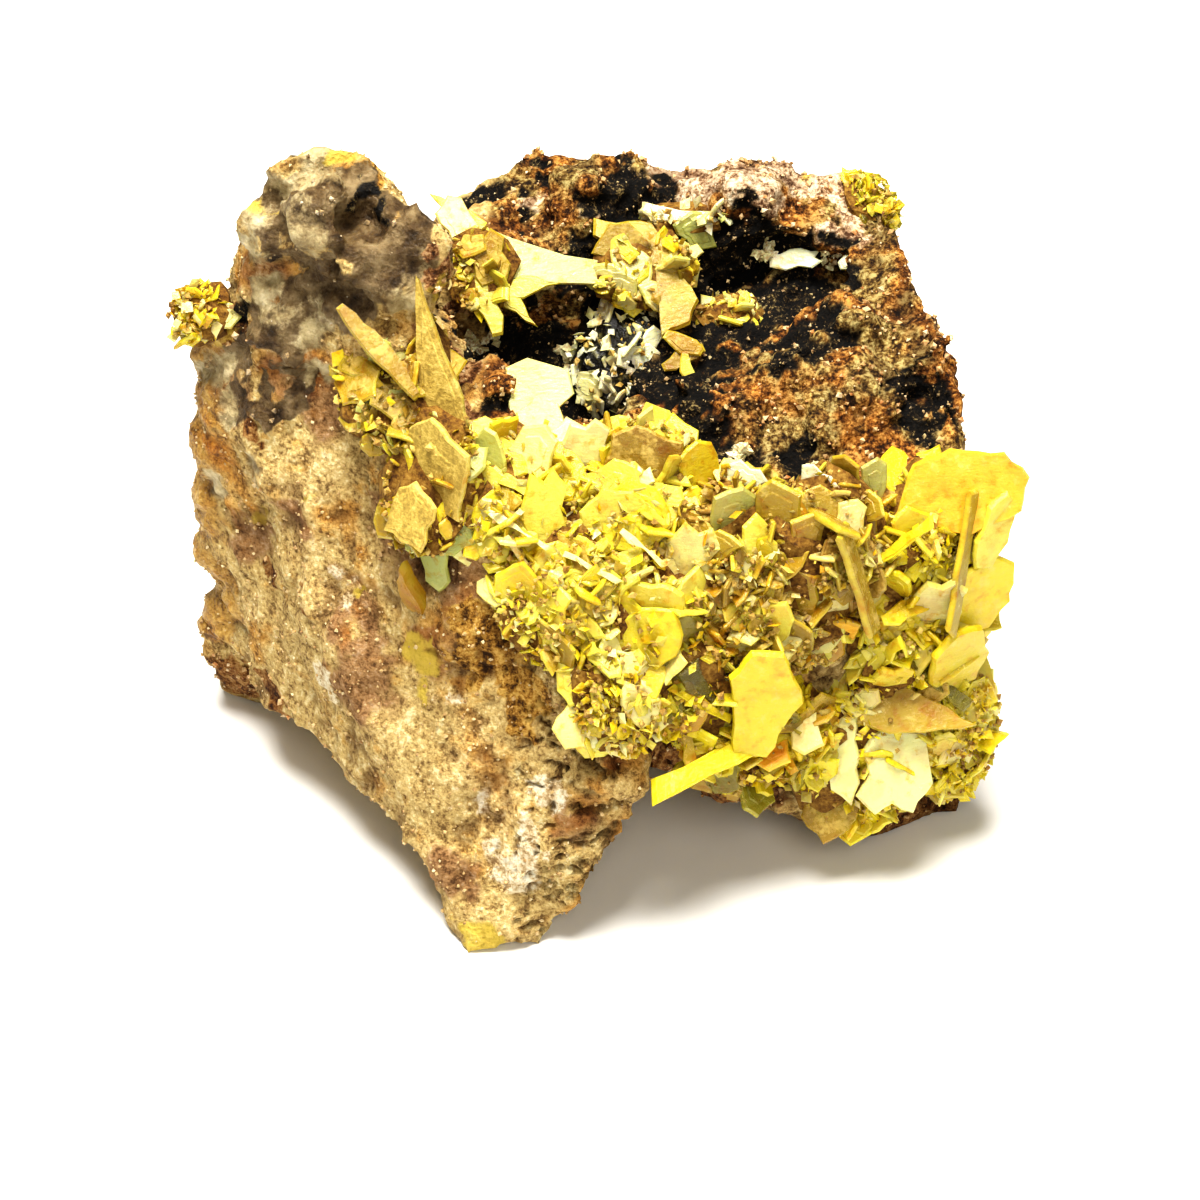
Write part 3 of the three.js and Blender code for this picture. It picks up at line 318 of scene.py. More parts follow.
CLUSTERS["lower_crystals"] = {
    "mix": "lemon olive tan vivid lemon honey".split(),
    "patches": [
        [[7, -7.8, 18.6], [0.2, -1, 0.1], [3.8, 4.6], 2.4, 3, [3, 4.2], 0.5, 120],
        [[11.4, -6.8, 13.4], [0.25, -1, 0], [5, 4.4], 2.4, 4, [3, 4.4], 0.5, 160],
    ],
    "crystals": [
        ["blade", [10.4, -9.6, 14], [11.8, -9.4, 23.4], [0.15, -0.98, 0.2], 5.6, 1.1, "vivid"],
        ["rod", [13.2, -7.2, 14.6], [3.2, -13.6, 14], [0.2, -0.6, 0.8], 1.7, 1.5, "vivid"],
        ["slab", [9.2, -8.4, 19], [5.4, -9.4, 21.8], [0.2, -0.85, 0.45], 2.8, 0.8, "olive"],
        ["tablet", [7.7, -8.8, 15.6], [7.6, -9.2, 19], [0.1, -0.95, 0.2], 3, 0.8, "olive"],
        ["tablet", [14.3, -6.6, 15.8], [14.4, -9.6, 14], [0, -0.6, 0.8], 2.4, 0.8, "cream"],
        ["tablet", [12.2, -7.2, 14.6], [12, -10, 12.8], [-0.3, -0.6, 0.7], 2.6, 0.8, "orange"],
        ["tablet", [10.5, -5.7, 10.7], [11.4, -9.2, 7.6], [0.5, -0.8, -0.2], 3.4, 0.8, "olive"],
    ],
    "slivers": [
        ["rod", [5.8, -9.6, 17.2], [6.4, -11.2, 13.8], [0.3, -0.8, 0.4], 0.8, 0.4, "tan"],
        ["blade", [6.8, -9.2, 13.6], [4.6, -11.2, 13.2], [0, -0.6, 0.8], 1, 0.3, "olive"],
        ["rod", [9, -9.4, 17.2], [4.6, -10.2, 21], [0.5, -0.6, 0.5], 0.6, 0.3, "lemon"],
        ["slab", [16.6, -5.6, 14.2], [14.6, -8.2, 14.8], [0.1, -0.6, 0.8], 1.6, 0.3, "tan"],
    ],
}
CLUSTERS["right_corner_crystals"] = {
    "mix": "vivid bright lemon bright vivid lemon cream bright".split(),
    "patches": [
        [[22.6, -0.8, 26.4], [0.5, -0.8, 0.4], [4.4, 4.6], 3, 3, [3, 4.4], 0.5, 195],
        [[22.2, -2.2, 19], [0.45, -0.9, 0.1], [4.8, 5], 3, 4, [3.2, 4.8], 0.5, 210],
        [[18.9, -5, 10.2], [0.3, -0.95, 0.1], [4.8, 6], 2.6, 4, [3.2, 4.6], 0.5, 210],
        [[25.6, -2, 9.4], [0.6, -0.8, 0], [3, 5.6], 2.4, 4, [3, 4.4], 0.5, 195],
    ],
    "crystals": [
        ["fan", [24.3, -2.6, 28], [24.6, 0.2, 33.2], [0.1, -0.75, 0.65], 9.4, 1.3, "orange"],
        ["rod", [25.2, -1.8, 31.2], [24, -6, 21.4], [0.85, -0.5, 0.2], 1.2, 0.8, "tan"],
        ["oval", [26.2, -2.8, 25.2], [27.6, -1.4, 30.8], [0.5, -0.7, 0.4], 2.8, 0.9, "bright"],
        ["lobed", [23, -3.6, 20.8], [23.4, -4.8, 25.8], [0.1, -0.9, 0.4], 3.8, 0.9, "cream"],
        ["blade", [23, -3.8, 23], [19.2, -5.8, 23.2], [0, -0.6, 0.8], 1.7, 0.8, "lemon"],
        ["tablet", [20.4, -3.2, 23.2], [20, -5.4, 27], [-0.3, -0.8, 0.4], 2.3, 0.8, "lemon"],
        ["oval", [26, -2.8, 19.8], [27, -2.2, 26], [0.4, -0.8, 0.45], 4.8, 1.1, "vivid"],
        ["oval", [25.4, -3.6, 15.2], [24.6, -5, 21.4], [0.3, -0.8, 0.5], 5, 1.1, "vivid"],
        ["lobed", [20.2, -4.2, 15], [20.4, -6.2, 19.2], [0.1, -0.9, 0.45], 3, 0.9, "bright"],
        ["rod", [18.7, -4.8, 17.2], [20.8, -6.2, 21.6], [-0.6, -0.7, 0.3], 0.9, 0.7, "lemon"],
        ["rod", [21, -4.8, 19.2], [26.2, -4.6, 13.8], [0.4, -0.5, 0.7], 1.2, 0.7, "olive"],
        ["slab", [17, -6, 14.8], [17.4, -8.6, 8.2], [-0.4, -0.85, 0.3], 2.2, 0.9, "white"],
        ["lobed", [21.4, -5.8, 13], [20.6, -8.8, 7.4], [0.2, -0.97, 0.1], 5.8, 1, "white"],
        ["spear", [18, -5.6, 15.2], [26.6, -6, 14], [0.1, -0.7, 0.7], 3.6, 0.9, "tan"],
        ["slab", [18.6, -5.4, 10], [15.4, -8.4, 4.6], [-0.1, -0.8, 0.6], 3.6, 0.9, "tan"],
    ],
    "slivers": [
        ["rod", [26.4, -3.6, 18.2], [23.6, -5.2, 17], [0.2, -0.6, 0.8], 0.7, 0.3, "lemon"],
        ["oval", [22.4, -4.8, 14.8], [24.4, -5, 16.6], [0.2, -0.7, 0.6], 1.8, 0.3, "tan"],
        ["slab", [27, -2.6, 12.2], [26.6, -3.2, 15.4], [0.5, -0.8, 0.3], 2, 0.3, "lemon"],
        ["tablet", [23.8, -5, 9.2], [24.6, -5.2, 12.2], [0.3, -0.8, 0.4], 2, 0.3, "bright"],
    ],
}
CLUSTERS["wall_crystals"] = {
    "mix": "dusty tan green tan lemon".split(),
    "patches": [
        [[-14, 2.4, 37.2], [-0.1, -0.6, 0.8], [3.4, 4.6], 2, 3, [2.6, 3.8], 0.6, 80],
        [[-11.2, -3, 32.9], [-0.3, -0.75, 0.55], [3, 5], 2, 3, [2.6, 4], 0.6, 80],
    ],
    "crystals": [
        ["spear", [-9.6, -1.8, 34.2], [-12.4, 3.6, 45], [-0.5, -0.7, 0.5], 3.2, 0.8, "sandy"],
        ["blade", [-12.1, -0.8, 38.2], [-17.1, 2.6, 43.3], [0.3, -0.6, 0.75], 1.4, 0.8, "dusty"],
        ["slab", [-11.4, -4.2, 31.4], [-10.2, -3.6, 38], [-0.6, -0.65, 0.5], 5.6, 0.9, "sandy"],
        ["slab", [-13.2, -6.4, 30.2], [-11.6, -5.8, 34.6], [-0.6, -0.7, 0.4], 3.4, 0.8, "sandy"],
        ["oval", [-11.4, -4.4, 30], [-10.9, -5.4, 25.2], [-0.5, -0.8, 0.2], 2.4, 0.7, "green"],
    ],
    "slivers": [
        ["blade", [-14.6, 0.6, 37.4], [-11.6, -0.4, 36.2], [0, -0.7, 0.7], 0.9, 0.3, "green"],
        ["blade", [-15.6, -0.8, 35], [-12.4, -2, 34.2], [0, -0.7, 0.7], 1, 0.3, "olive"],
        ["oval", [-14.8, 1.8, 39.2], [-14.6, 1.6, 41.4], [-0.1, -0.8, 0.5], 2, 0.3, "green"],
        ["rod", [-16, 0, 36.4], [-13.6, -1.6, 35.6], [0, -0.7, 0.7], 0.5, 0.3, "tan"],
    ],
}
CLUSTERS["ledge_crystals"] = {
    "mix": "tan bright dusty cream tan bright lemon".split(),
    "swell": 0.15,
    "bare": 0.75,
    "patches": [
        [[-8.5, 15.4, 37.5], [0.1, -0.75, 0.65], [2.2, 2.8], 2, 3, [2.4, 3.4], 0.6, 50],
        [[3.3, 17.7, 36], [0.1, -0.75, 0.65], [3.4, 2.4], 2.4, 2, [2.4, 3.4], 0.6, 80],
    ],
    "crystals": [
        ["band", [-8.6, 16.6, 38.3], [2.4, 18.3, 36.2], [0, -0.7, 0.7], 3.8, 1, "pale"],
        ["slab", [0.9, 17.6, 36.4], [2.6, 19.4, 38.6], [0.1, -0.75, 0.65], 3.6, 0.9, "dusty"],
        ["crescent", [5.7, 13.9, 33.5], [0.9, 20.8, 39.3], [0.1, -0.72, 0.68], 4.4, 1.1, "tan"],
        ["lobed", [4, 15.9, 34], [3.2, 18.9, 37.2], [0.2, -0.75, 0.6], 2.6, 0.9, "dusty"],
        ["tablet", [-9.1, 17, 38.4], [-11.1, 19.9, 40.8], [0.2, -0.7, 0.6], 2.4, 0.9, "cream"],
        ["lobed", [-7.5, 14.3, 37], [-8.3, 16.5, 40.2], [0.1, -0.7, 0.65], 3, 0.9, "tan"],
        ["blade", [-8.6, 15.2, 38], [-7.4, 12, 34.2], [0.1, -0.8, 0.6], 1.9, 0.8, "bright"],
        ["spear", [-6.8, 14.9, 36.2], [-2.7, 15.3, 36.7], [0, -0.7, 0.7], 1.7, 0.8, "bright"],
        ["spear", [-7.2, 14.9, 36.2], [-4.3, 13.2, 34.3], [0, -0.7, 0.7], 1.4, 0.8, "bright"],
    ],
    "slivers": [
        ["blade", [4.6, 13.2, 33.6], [7.2, 12.4, 32.4], [0, -0.7, 0.7], 1.5, 0.4, "tan"],
        ["blade", [7.4, 13, 32.6], [4.4, 11.8, 31.8], [0.2, -0.7, 0.7], 1.4, 0.4, "dusty"],
        ["blade", [6, 12.4, 32.6], [6.4, 10.8, 30.8], [0.2, -0.8, 0.6], 1.2, 0.4, "bright"],
        ["spear", [-8.4, 19.4, 38.4], [-12.4, 22, 39.6], [0.2, -0.7, 0.6], 1.4, 0.4, "bright"],
    ],
}
CLUSTERS["pit_crystals"] = {
    "mix": "druse druse white druse".split(),
    "crust": (0.006, 0.005, 0.004),
    "patches": [[[1, 15.2, 30.2], [-0.3, -0.7, 0.65], [2.8, 3.8], 1.8, 6, [1.6, 2.4], 0.7, 30]],
}
CLUSTERS["hollow_crystals"] = {
    "mix": "cream tan bright bright".split(),
    "patches": [[[9.4, 17.6, 31.9], [0, -0.3, 0.95], [2.2, 1.6], 2, 4, [2.2, 3.2], 0.7, 16]],
    "slivers": [
        ["lobed", [12.4, 21.4, 34.4], [16.2, 21, 35], [0, -0.7, 0.7], 1.6, 0.4, "druse"],
        ["oval", [17.4, 20.4, 34.6], [19, 20.2, 35.6], [0, -0.7, 0.7], 1.2, 0.4, "druse"],
    ],
}
CLUSTERS["back_rim_crystals"] = {
    "mix": "green druse cream".split(),
    "swell": 0.2,
    "patches": [[[6, 21.6, 37.8], [0, -0.5, 0.87], [2.8, 0.9], 1.2, 2, [1.6, 2], 0.7, 40]],
    "crystals": [["band", [3, 21.8, 38.4], [8.2, 21.2, 38.6], [0, -0.5, 0.86], 1.5, 0.7, "druse"]],
}
CLUSTERS["rim_corner_crystals"] = {
    "mix": "lemon bright olive".split(),
    "swell": 0.35,
    "patches": [[[19.6, 25, 36.9], [0.7, -0.1, 0.7], [1.8, 2.2], 1.6, 3, [1.6, 2.2], 0.4, 60]],
}
CLUSTERS["left_edge_crystals"] = {
    "mix": "lemon honey cream".split(),
    "patches": [[[-27.5, 9.9, 37.5], [-0.5, -0.6, 0.6], [1.7, 2], 1.8, 3, [1.8, 2.6], 0.4, 40]],
}
CLUSTERS["wall_spear"] = {
    "mix": "honey".split(),
    "crystals": [["spear", [-12.4, -4.2, 22.6], [-13.5, -5.6, 28], [-0.6, -0.75, 0.2], 1.9, 1.6, "honey"]],
}

# ---- numbers and shapes


def random_source(seed):
    """The same repeatable random numbers from 0 to 1 that the CAD's crystals are grown from."""
    limit = 0xFFFFFFFF
    state = seed & limit

    def draw():
        nonlocal state
        state = (state + 0x6D2B79F5) & limit
        t = ((state ^ (state >> 15)) * (state | 1)) & limit
        t ^= (t + (((t ^ (t >> 7)) * (t | 61)) & limit)) & limit
        return ((t ^ (t >> 14)) & limit) / (limit + 1)

    return draw


def unit(v):
    return np.asarray(v, float) / np.linalg.norm(v)


def smooth(low, high, x):
    """0 below low, 1 above high, smooth between."""
    t = np.clip((x - low) / (high - low), 0, 1)
    return t * t * (3 - 2 * t)


def wander(points, size, shift):
    """Smooth noise from about -1 to 1 at each point, with features of that size."""
    offset = Vector((shift, shift * 0.7, -shift))
    fall, finer, octaves = 1.0, 2.0, 3
    return np.array([noise.fractal(Vector(p) / size + offset, fall, finer, octaves) for p in points])


def cells(points, size, shift):
    """The distance from each point to the middle of its cell, 0 to about 1."""
    offset = Vector((shift, -shift, shift * 0.3))
    return np.array([noise.voronoi(Vector(p) / size + offset)[0][0] for p in points])


def loft_faces(corners, rings):
    """Triangles of a closed shell: a middle point, rings of corners and a last middle point."""
    faces = []
    last = 1 + (rings - 1) * corners
    for k in range(corners):
        after = (k + 1) % corners
        faces.append((0, 1 + k, 1 + after))
        for a in range(1, last, corners):
            b = a + corners
            faces.append((a + k, b + k, b + after))
            faces.append((a + k, b + after, a + after))
        faces.append((last + k, last + corners, last + after))
    return np.array(faces)


LOFTS = {}  # faces made so far, by corners and rings


def loft(rings):
    """A closed shell over rings of points, each ring the same number of corners."""
    key = (len(rings[0]), len(rings))
    if key not in LOFTS:
        LOFTS[key] = loft_faces(*key)
    points = np.vstack([rings[0].mean(0), *rings, rings[-1].mean(0)])
    return points, LOFTS[key]


OCTAHEDRON = np.array([[1, 0, 0], [-1, 0, 0], [0, 1, 0], [0, -1, 0], [0, 0, 1], [0, 0, -1]], float)
OCTAHEDRON_FACES = np.array([
    [0, 2, 4], [2, 1, 4], [1, 3, 4], [3, 0, 4], [2, 0, 5], [1, 2, 5], [3, 1, 5], [0, 3, 5],
])


def add_value(mesh, name, values):
    layer = mesh.attributes.new(name, "FLOAT", "POINT")
    layer.data.foreach_set("value", np.asarray(values, np.float32))


def add_colour(mesh, name, colours):
    layer = mesh.attributes.new(name, "FLOAT_COLOR", "POINT")
    opaque = np.hstack([colours, np.ones((len(colours), 1))])
    layer.data.foreach_set("color", opaque.astype(np.float32).ravel())


def place_object(name, data):
    obj = bpy.data.objects.new(name, data)
    bpy.context.scene.collection.objects.link(obj)
    return obj


class Shapes:
    """Closed shells gathered for one mesh. Each corner has a tint, a share of dust and of clearness."""

    def __init__(self):
        self.points, self.faces, self.marks, self.count = [], [], [], 0

    def add(self, points, faces, tint, dust, clear):
        """Tint and dust are one for the shape, or one for each of its corners."""
        marks = np.zeros((len(points), 5))
        marks[:, :3] = tint
        marks[:, 3] = dust
        marks[:, 4] = clear
        self.points.append(points)
        self.faces.append(faces + self.count)
        self.marks.append(marks)
        self.count += len(points)

    def build(self, name, material):
        mesh = bpy.data.meshes.new(name)
        points = (np.vstack(self.points) + SHIFT) * MM
        mesh.from_pydata(points.tolist(), [], np.vstack(self.faces).tolist())
        mesh.materials.append(material)
        marks = np.vstack(self.marks)
        add_colour(mesh, "tint", marks[:, :3])
        add_value(mesh, "dust", marks[:, 3])
        add_value(mesh, "clear", marks[:, 4])
        return place_object(name, mesh)


# ---- growing crystals


def style_of(name, random):
    """A crystal's tint, dust and clearness, a little different for each."""
    tint, dust, clear = STYLES[name]
    light = 0.88 + 0.2 * random()
    warm = (random() - 0.5) * 0.08
    tint = np.clip(np.array(tint) * light * [1 + warm, 1, 1 - warm], 0, 1)
    return tint, dust * (0.5 + random()), clear * (0.6 + 0.8 * random())


def chipped(corners, random):
    """The outline with its long edges broken up and a little uneven."""
    most_parts, dent, longest = 5, 0.16, 2.4  # a dent is a share of its edge, or of the longest that counts
    rim = []
    for a, b in zip(corners, np.roll(corners, -1, axis=0)):
        length = np.linalg.norm(b - a)
        parts = max(1, min(most_parts, round(length / CHIP)))
        out = np.array([b[1] - a[1], a[0] - b[0]]) / max(length, 1e-6)
        rim.append(a)
        for i in range(1, parts):
            rim.append(a + (b - a) * i / parts + out * (random() - 0.55) * dent * min(length, longest))
    return np.array(rim)


def axes_of(root, tip, facing):
    """A flat crystal's length, and the ways across it, along it and out of its broad face."""
    along = np.subtract(tip, root)
    length = np.linalg.norm(along)
    along = along / length
    across = unit(np.cross(along, facing))
    return length, across, along, np.cross(across, along)


def grow(shapes, outline, root, tip, facing, width, thickness, style, random, fine=False):
    """A flat crystal from root to tip with bevelled edges, and growth steps unless it is a fine one."""
    length, across, along, face = axes_of(root, tip, facing)
    corners = np.array(outline) * [width, length]
    rim = corners if fine or style == "pale" else chipped(corners, random)
    middle = rim.mean(0)
    reach = np.linalg.norm(rim - middle, axis=1).mean()
    bevel = min(MOST_BEVEL, EDGE_BEVEL / reach)
    bend = (random() - 0.5) * BEND * length
    twist = (random() - 0.5) * TWIST

    def ring(share, height):
        flat = middle + (rim - middle) * share
        rise = height + bend * (flat[:, 1] / length - 0.4) ** 2 + twist * flat[:, 0] * flat[:, 1] / length
        return np.asarray(root) + flat[:, :1] * across + flat[:, 1:] * along + np.outer(rise, face)

    half = thickness * SLIMNESS / 2
    rim_half = half * 0.25
    rings = [ring(1 - bevel, half), ring(1, rim_half), ring(1, -rim_half), ring(1 - bevel, -half)]
    edge = [0.25, 1.0, 1.0, 0.25]  # how much of the painted rim glow each ring has; the rim also keeps less dust
    if not fine and random() < 0.5:
        share = 0.5 + 0.3 * random()
        rings = [ring(share - 0.05, half + STEP_RISE), ring(share, half), *rings]
        edge = [0.0, 0.0, *edge]
    points, faces = loft(rings)
    edges = np.concatenate([[edge[0]], np.repeat(edge, len(rim)), [edge[-1]]])
    tint, dust, clear = style_of(style, random)
    # painted glow: the rim's corners are tinted lighter and yellower, standing in for light gathered in the
    # rim
    glow = 0.15 if style in PALE else 0.5 * max(0, 1 - dust)
    tints = tint + np.outer(edges * glow, RIM_GLOW_TINT - tint)
    shapes.add(points, faces, tints, dust * (1 - 0.8 * edges), clear)


def lump(shapes, centre, half, axes, random, tint, dust):
    """A rounded uneven lump with half axes given along the rows of axes."""
    sides, levels, rough = 12, 6, 0.3
    rings = []
    for i in range(1, levels):
        polar = math.pi * i / levels
        turns = np.arange(sides) * 2 * math.pi / sides + random() * 0.5
        flat = [np.cos(turns) * math.sin(polar), np.sin(turns) * math.sin(polar)]
        ring = np.column_stack([*flat, np.full(sides, math.cos(polar))])
        ring *= 1 + rough * (np.array([random() for _ in turns])[:, None] - 0.5)
        rings.append(centre + (ring * half) @ axes)
    points, faces = loft(rings)
    shapes.add(points, faces, tint, dust, 0.0)


def grains(shapes, places, sizes, tints, dust, rng, thin=0.8):
    """A small eight-sided grain at each place, turned at random; thin ones are flakes."""
    count = len(places)
    corners = OCTAHEDRON * (0.7 + 0.6 * rng.random((count, 6, 1))) * [1, 0.8, thin]
    frames = np.linalg.qr(rng.normal(size=(count, 3, 3)))[0]
    frames *= np.sign(np.linalg.det(frames))[:, None, None]
    points = places[:, None, :] + (corners * sizes[:, None, None]) @ frames
    faces = OCTAHEDRON_FACES + 6 * np.arange(count)[:, None, None]
    shapes.add(points.reshape(-1, 3), faces.reshape(-1, 3), np.repeat(tints, 6, axis=0), dust, 0.05)


def beside(places, crystals):
    """Which of the places aren't on the broad face of a large crystal."""
    middle, reach = 0.7, 1.5  # the slice in front of a face and behind it that counts as on it
    foot = 0.1  # share of its length that stays open to crystals, at its root
    free = np.full(len(places), True)
    for _, root, tip, facing, width, *_ in crystals:
        length, *axes = axes_of(root, tip, facing)
        local = (places - root) @ np.array(axes).T
        over = (np.abs(local[:, 0]) < width * 0.5) & (np.abs(local[:, 2] - middle) < reach)
        free &= ~(over & (local[:, 1] > length * foot) & (local[:, 1] < length))
    return free


class Patch:
    """A rounded patch of crust, with the places and directions on it."""

    def __init__(self, row, cluster):
        at, facing, self.half, self.height, self.count, self.length, self.lean, self.small = row
        self.at = np.asarray(at)
        self.swell = self.height * cluster.get("swell", SWELL)
        self.mix = cluster["mix"]
        self.crystals = cluster.get("crystals", [])
        self.out = unit(facing)
        self.across = unit(np.cross([0, 0, 1], self.out))
        self.up = np.cross(self.out, self.across)
        self.axes = np.array([self.across, self.up, self.out])

    def spot(self, a, b, top):
        """The place a across and b up, from -1 to 1, on a dome of that height."""
        rise = top * math.sqrt(max(0, 1 - a * a - b * b))
        place = self.at + self.across * a * self.half[0]
        return place + self.up * b * self.half[1] + self.out * rise

    def stance(self, a, b, lean, draw):
        """The way a crystal stands at that place on the crust, and a random way square to it."""
        outward = self.out + self.across * (a * FANNING + (draw() * 2 - 1) * lean)
        outward = unit(outward + self.up * (b * FANNING + (draw() * 2 - 1) * lean))
        return outward, unit(np.cross([draw() * 2 - 1, draw() * 2 - 1, draw() * 2 - 1], outward))


def grow_tablets(shapes, patch, random, extra):
    """The tablets that the CAD has on the patch, every second one lying down."""

    def spread(amount):
        return (random() * 2 - 1) * amount

    golden_turn = 2.39996
    farthest = 0.92  # of the patch's half size
    for i in range(patch.count):
        turn = i * golden_turn + spread(0.5)
        reach = math.sqrt((i + 0.5) / patch.count) * farthest
        a, b = math.cos(turn) * reach, math.sin(turn) * reach
        stand, face = patch.stance(a, b, patch.lean, random)
        sunk = 0.4
        if i % 2:
            stand, face, sunk = face, stand, 0.5
        size = patch.length[0] + random() * (patch.length[1] - patch.length[0])
        corners = []
        for k in range(4 + i % 2):
            angle = (k + 0.5 + spread(0.2)) * math.pi / (2 + i % 2 / 2)
            corners.append([math.sin(angle) * 0.5, 0.5 - math.cos(angle) * 0.5])
        root = patch.spot(a, b, patch.height * SWELL) - stand * size * sunk
        width = size * (0.6 + random() * 0.35)
        thickness = TABLET * (0.85 + random() * 0.4)
        style = patch.mix[int(extra() * len(patch.mix))]
        grow(shapes, corners, root, root + stand * size, face, width, thickness, style, extra)


def small_outline(random):
    """An uneven outline of five to eight corners for a small tablet."""
    count = 5 + int(random() * 4)
    stretch = 1 + 0.6 * random()
    corners = []
    for k in range(count):
        angle = (k + 0.4 * (random() - 0.5)) * 2 * math.pi / count
        reach = 0.5 * (0.78 + 0.36 * random())
        corners.append([math.sin(angle) * reach / stretch, 0.5 - math.cos(angle) * reach])
    return corners


def grow_small_tablets(shapes, patch, bare, random):
    """Small tablets between the others, broad and slim in turn, smaller on a small patch."""
    full = min(1, 0.3 + 0.15 * patch.half[0])
    for i in range(patch.small):
        broad = i % 2
        turn, reach = random() * 2 * math.pi, math.sqrt(random()) * 1.08
        a, b = math.cos(turn) * reach, math.sin(turn) * reach
        stand, face = patch.stance(a, b, 0.5 if broad else 0.8, random)
        size = BROAD + BROAD_SPREAD * random() ** 1.4 if broad else SLIM + SLIM_SPREAD * random()
        size *= full
        if random() < LYING:
            stand, face = face, stand
        else:
            size *= STANDING_SIZE
        middle = patch.spot(a, b, patch.swell) + patch.out * (random() - 0.35)
        if not beside(middle[None], patch.crystals)[0] and random() < bare:
            continue
        root = middle - stand * size * 0.5
        width = size * (0.7 + random() * 0.5)
        style = patch.mix[int(random() * len(patch.mix))]
        corners = small_outline(random)
        thickness = 0.3 + 0.08 * size
        grow(shapes, corners, root, root + stand * size, face, width, thickness, style, random, not broad)


def strew(shapes, patch, rng):
    """Earthy crumbs and yellow flakes over the patch, few of them on the large crystals."""
    loose = patch.small * LOOSE
    least_earthy, left_on_crystals = 0.25, 0.15
    turns, reaches = rng.random(loose) * 2 * math.pi, np.sqrt(rng.random(loose)) * 1.1
    flat = np.column_stack([np.cos(turns) * reaches, np.sin(turns) * reaches])
    rise = patch.swell * np.sqrt(np.maximum(0, 1 - (flat**2).sum(1))) + rng.random(loose) ** 2 * 1.4
    places = patch.at + np.column_stack([flat * patch.half, rise]) @ patch.axes
    places = places[beside(places, patch.crystals) | (rng.random(loose) < left_on_crystals)]
    mix = [STYLES[name] for name in patch.mix]
    earthy = least_earthy + np.mean([dust for _, dust, _ in mix])
    crumbs, flakes = np.split(places, [int(len(places) * earthy)])
    tints = CRUMB_TINTS[rng.integers(0, len(CRUMB_TINTS), len(crumbs))]
    grains(shapes, crumbs, 0.14 + 0.26 * rng.random(len(crumbs)) ** 2, tints, 0.7, rng)
    tints = np.array([tint for tint, _, _ in mix])[rng.integers(0, len(mix), len(flakes))]
    grains(shapes, flakes, 0.2 + 0.45 * rng.random(len(flakes)) ** 2, tints * 0.9, 0.2, rng, thin=0.15)


def cover(shapes, row, cluster, random, extra):
    """The crust of a patch and everything that grows on it."""
    patch = Patch(row, cluster)
    half = np.array([*patch.half, patch.swell]) + CRUST_REACH
    tint, dust = (cluster["crust"], -1) if "crust" in cluster else (CRUST_AND_GAP_SHADE_TINT, 2)
    lump(shapes, patch.at, half, patch.axes, extra, tint, dust)
    grow_tablets(shapes, patch, random, extra)
    grow_small_tablets(shapes, patch, cluster.get("bare", 1), extra)
    strew(shapes, patch, np.random.default_rng(int(extra() * 1e6)))


def make_cluster(name, seed, material):
    cluster = CLUSTERS[name]
    shapes = Shapes()
    random = random_source(seed)
    extra = random_source(seed + 100)
    for row in cluster.get("patches", []):
        cover(shapes, row, cluster, random, extra)
    for outline, *place, style in cluster.get("crystals", []) + cluster.get("slivers", []):
        grow(shapes, OUTLINES[outline], *place, style, extra)
    piece = shapes.build(name + "_fine", material)
    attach(piece, "root")
    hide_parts(name)


# ---- the rock


def patch_field(points, patches):
    """How far inside the nearest patch each point is: 1 at a middle, 0 at an edge, negative outside."""
    best = np.full(len(points), -3.0)
    for x, y, z, radius in patches:
        best = np.maximum(best, 1 - np.linalg.norm(points - [x, y, z], axis=1) / radius)
    return best


def stain_field(points):
    """The same for the ellipsoids of the stain."""
    best = np.full(len(points), -3.0)
    for centre, half in HOLLOW_STAIN:
        best = np.maximum(best, 1 - np.linalg.norm((points - centre) / half, axis=1))
    return best


def fine_rock():
    """The CAD rock as a fine even mesh, in the specimen's own millimetres."""
    obj = place_object("rock_fine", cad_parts["rock"].data.copy())
    remesh = obj.modifiers.new("remesh", "REMESH")
    remesh.mode = "VOXEL"
    remesh.voxel_size = VOXEL * MM
    soften = obj.modifiers.new("soften", "SMOOTH")
    soften.factor = 0.5
    soften.iterations = 5
    bpy.context.view_layer.update()
    mesh = bpy.data.meshes.new_from_object(obj.evaluated_get(bpy.context.evaluated_depsgraph_get()))
    obj.modifiers.clear()
    obj.data = mesh
    points = np.zeros(len(mesh.vertices) * 3)
    mesh.vertices.foreach_get("co", points)
    normals = np.zeros(len(mesh.vertices) * 3)
    mesh.vertices.foreach_get("normal", normals)
    return obj, points.reshape(-1, 3) / MM - SHIFT, normals.reshape(-1, 3)


class Relief:
    """Noises at the rock's points that its minerals and its roughness share."""

    def __init__(self, points):
        self.points = points
        self.broad = wander(points, size=5.0, shift=3.1)
        self.medium = wander(points, size=1.9, shift=11.7)
        self.small = wander(points, size=0.8, shift=23.9)
        sideways = [wander(points, size=2.2, shift=71.3), wander(points, size=2.0, shift=97.1)]
        self.strayed = points + np.column_stack([self.medium, *sideways]) * 1.6
        self.lumps = 0.5 - cells(points, size=2.3, shift=5.5)
        self.knobs = 0.5 - cells(points, size=1.0, shift=17.5)
        self.chunks = 0.5 - cells(self.strayed, size=3.4, shift=29.5)


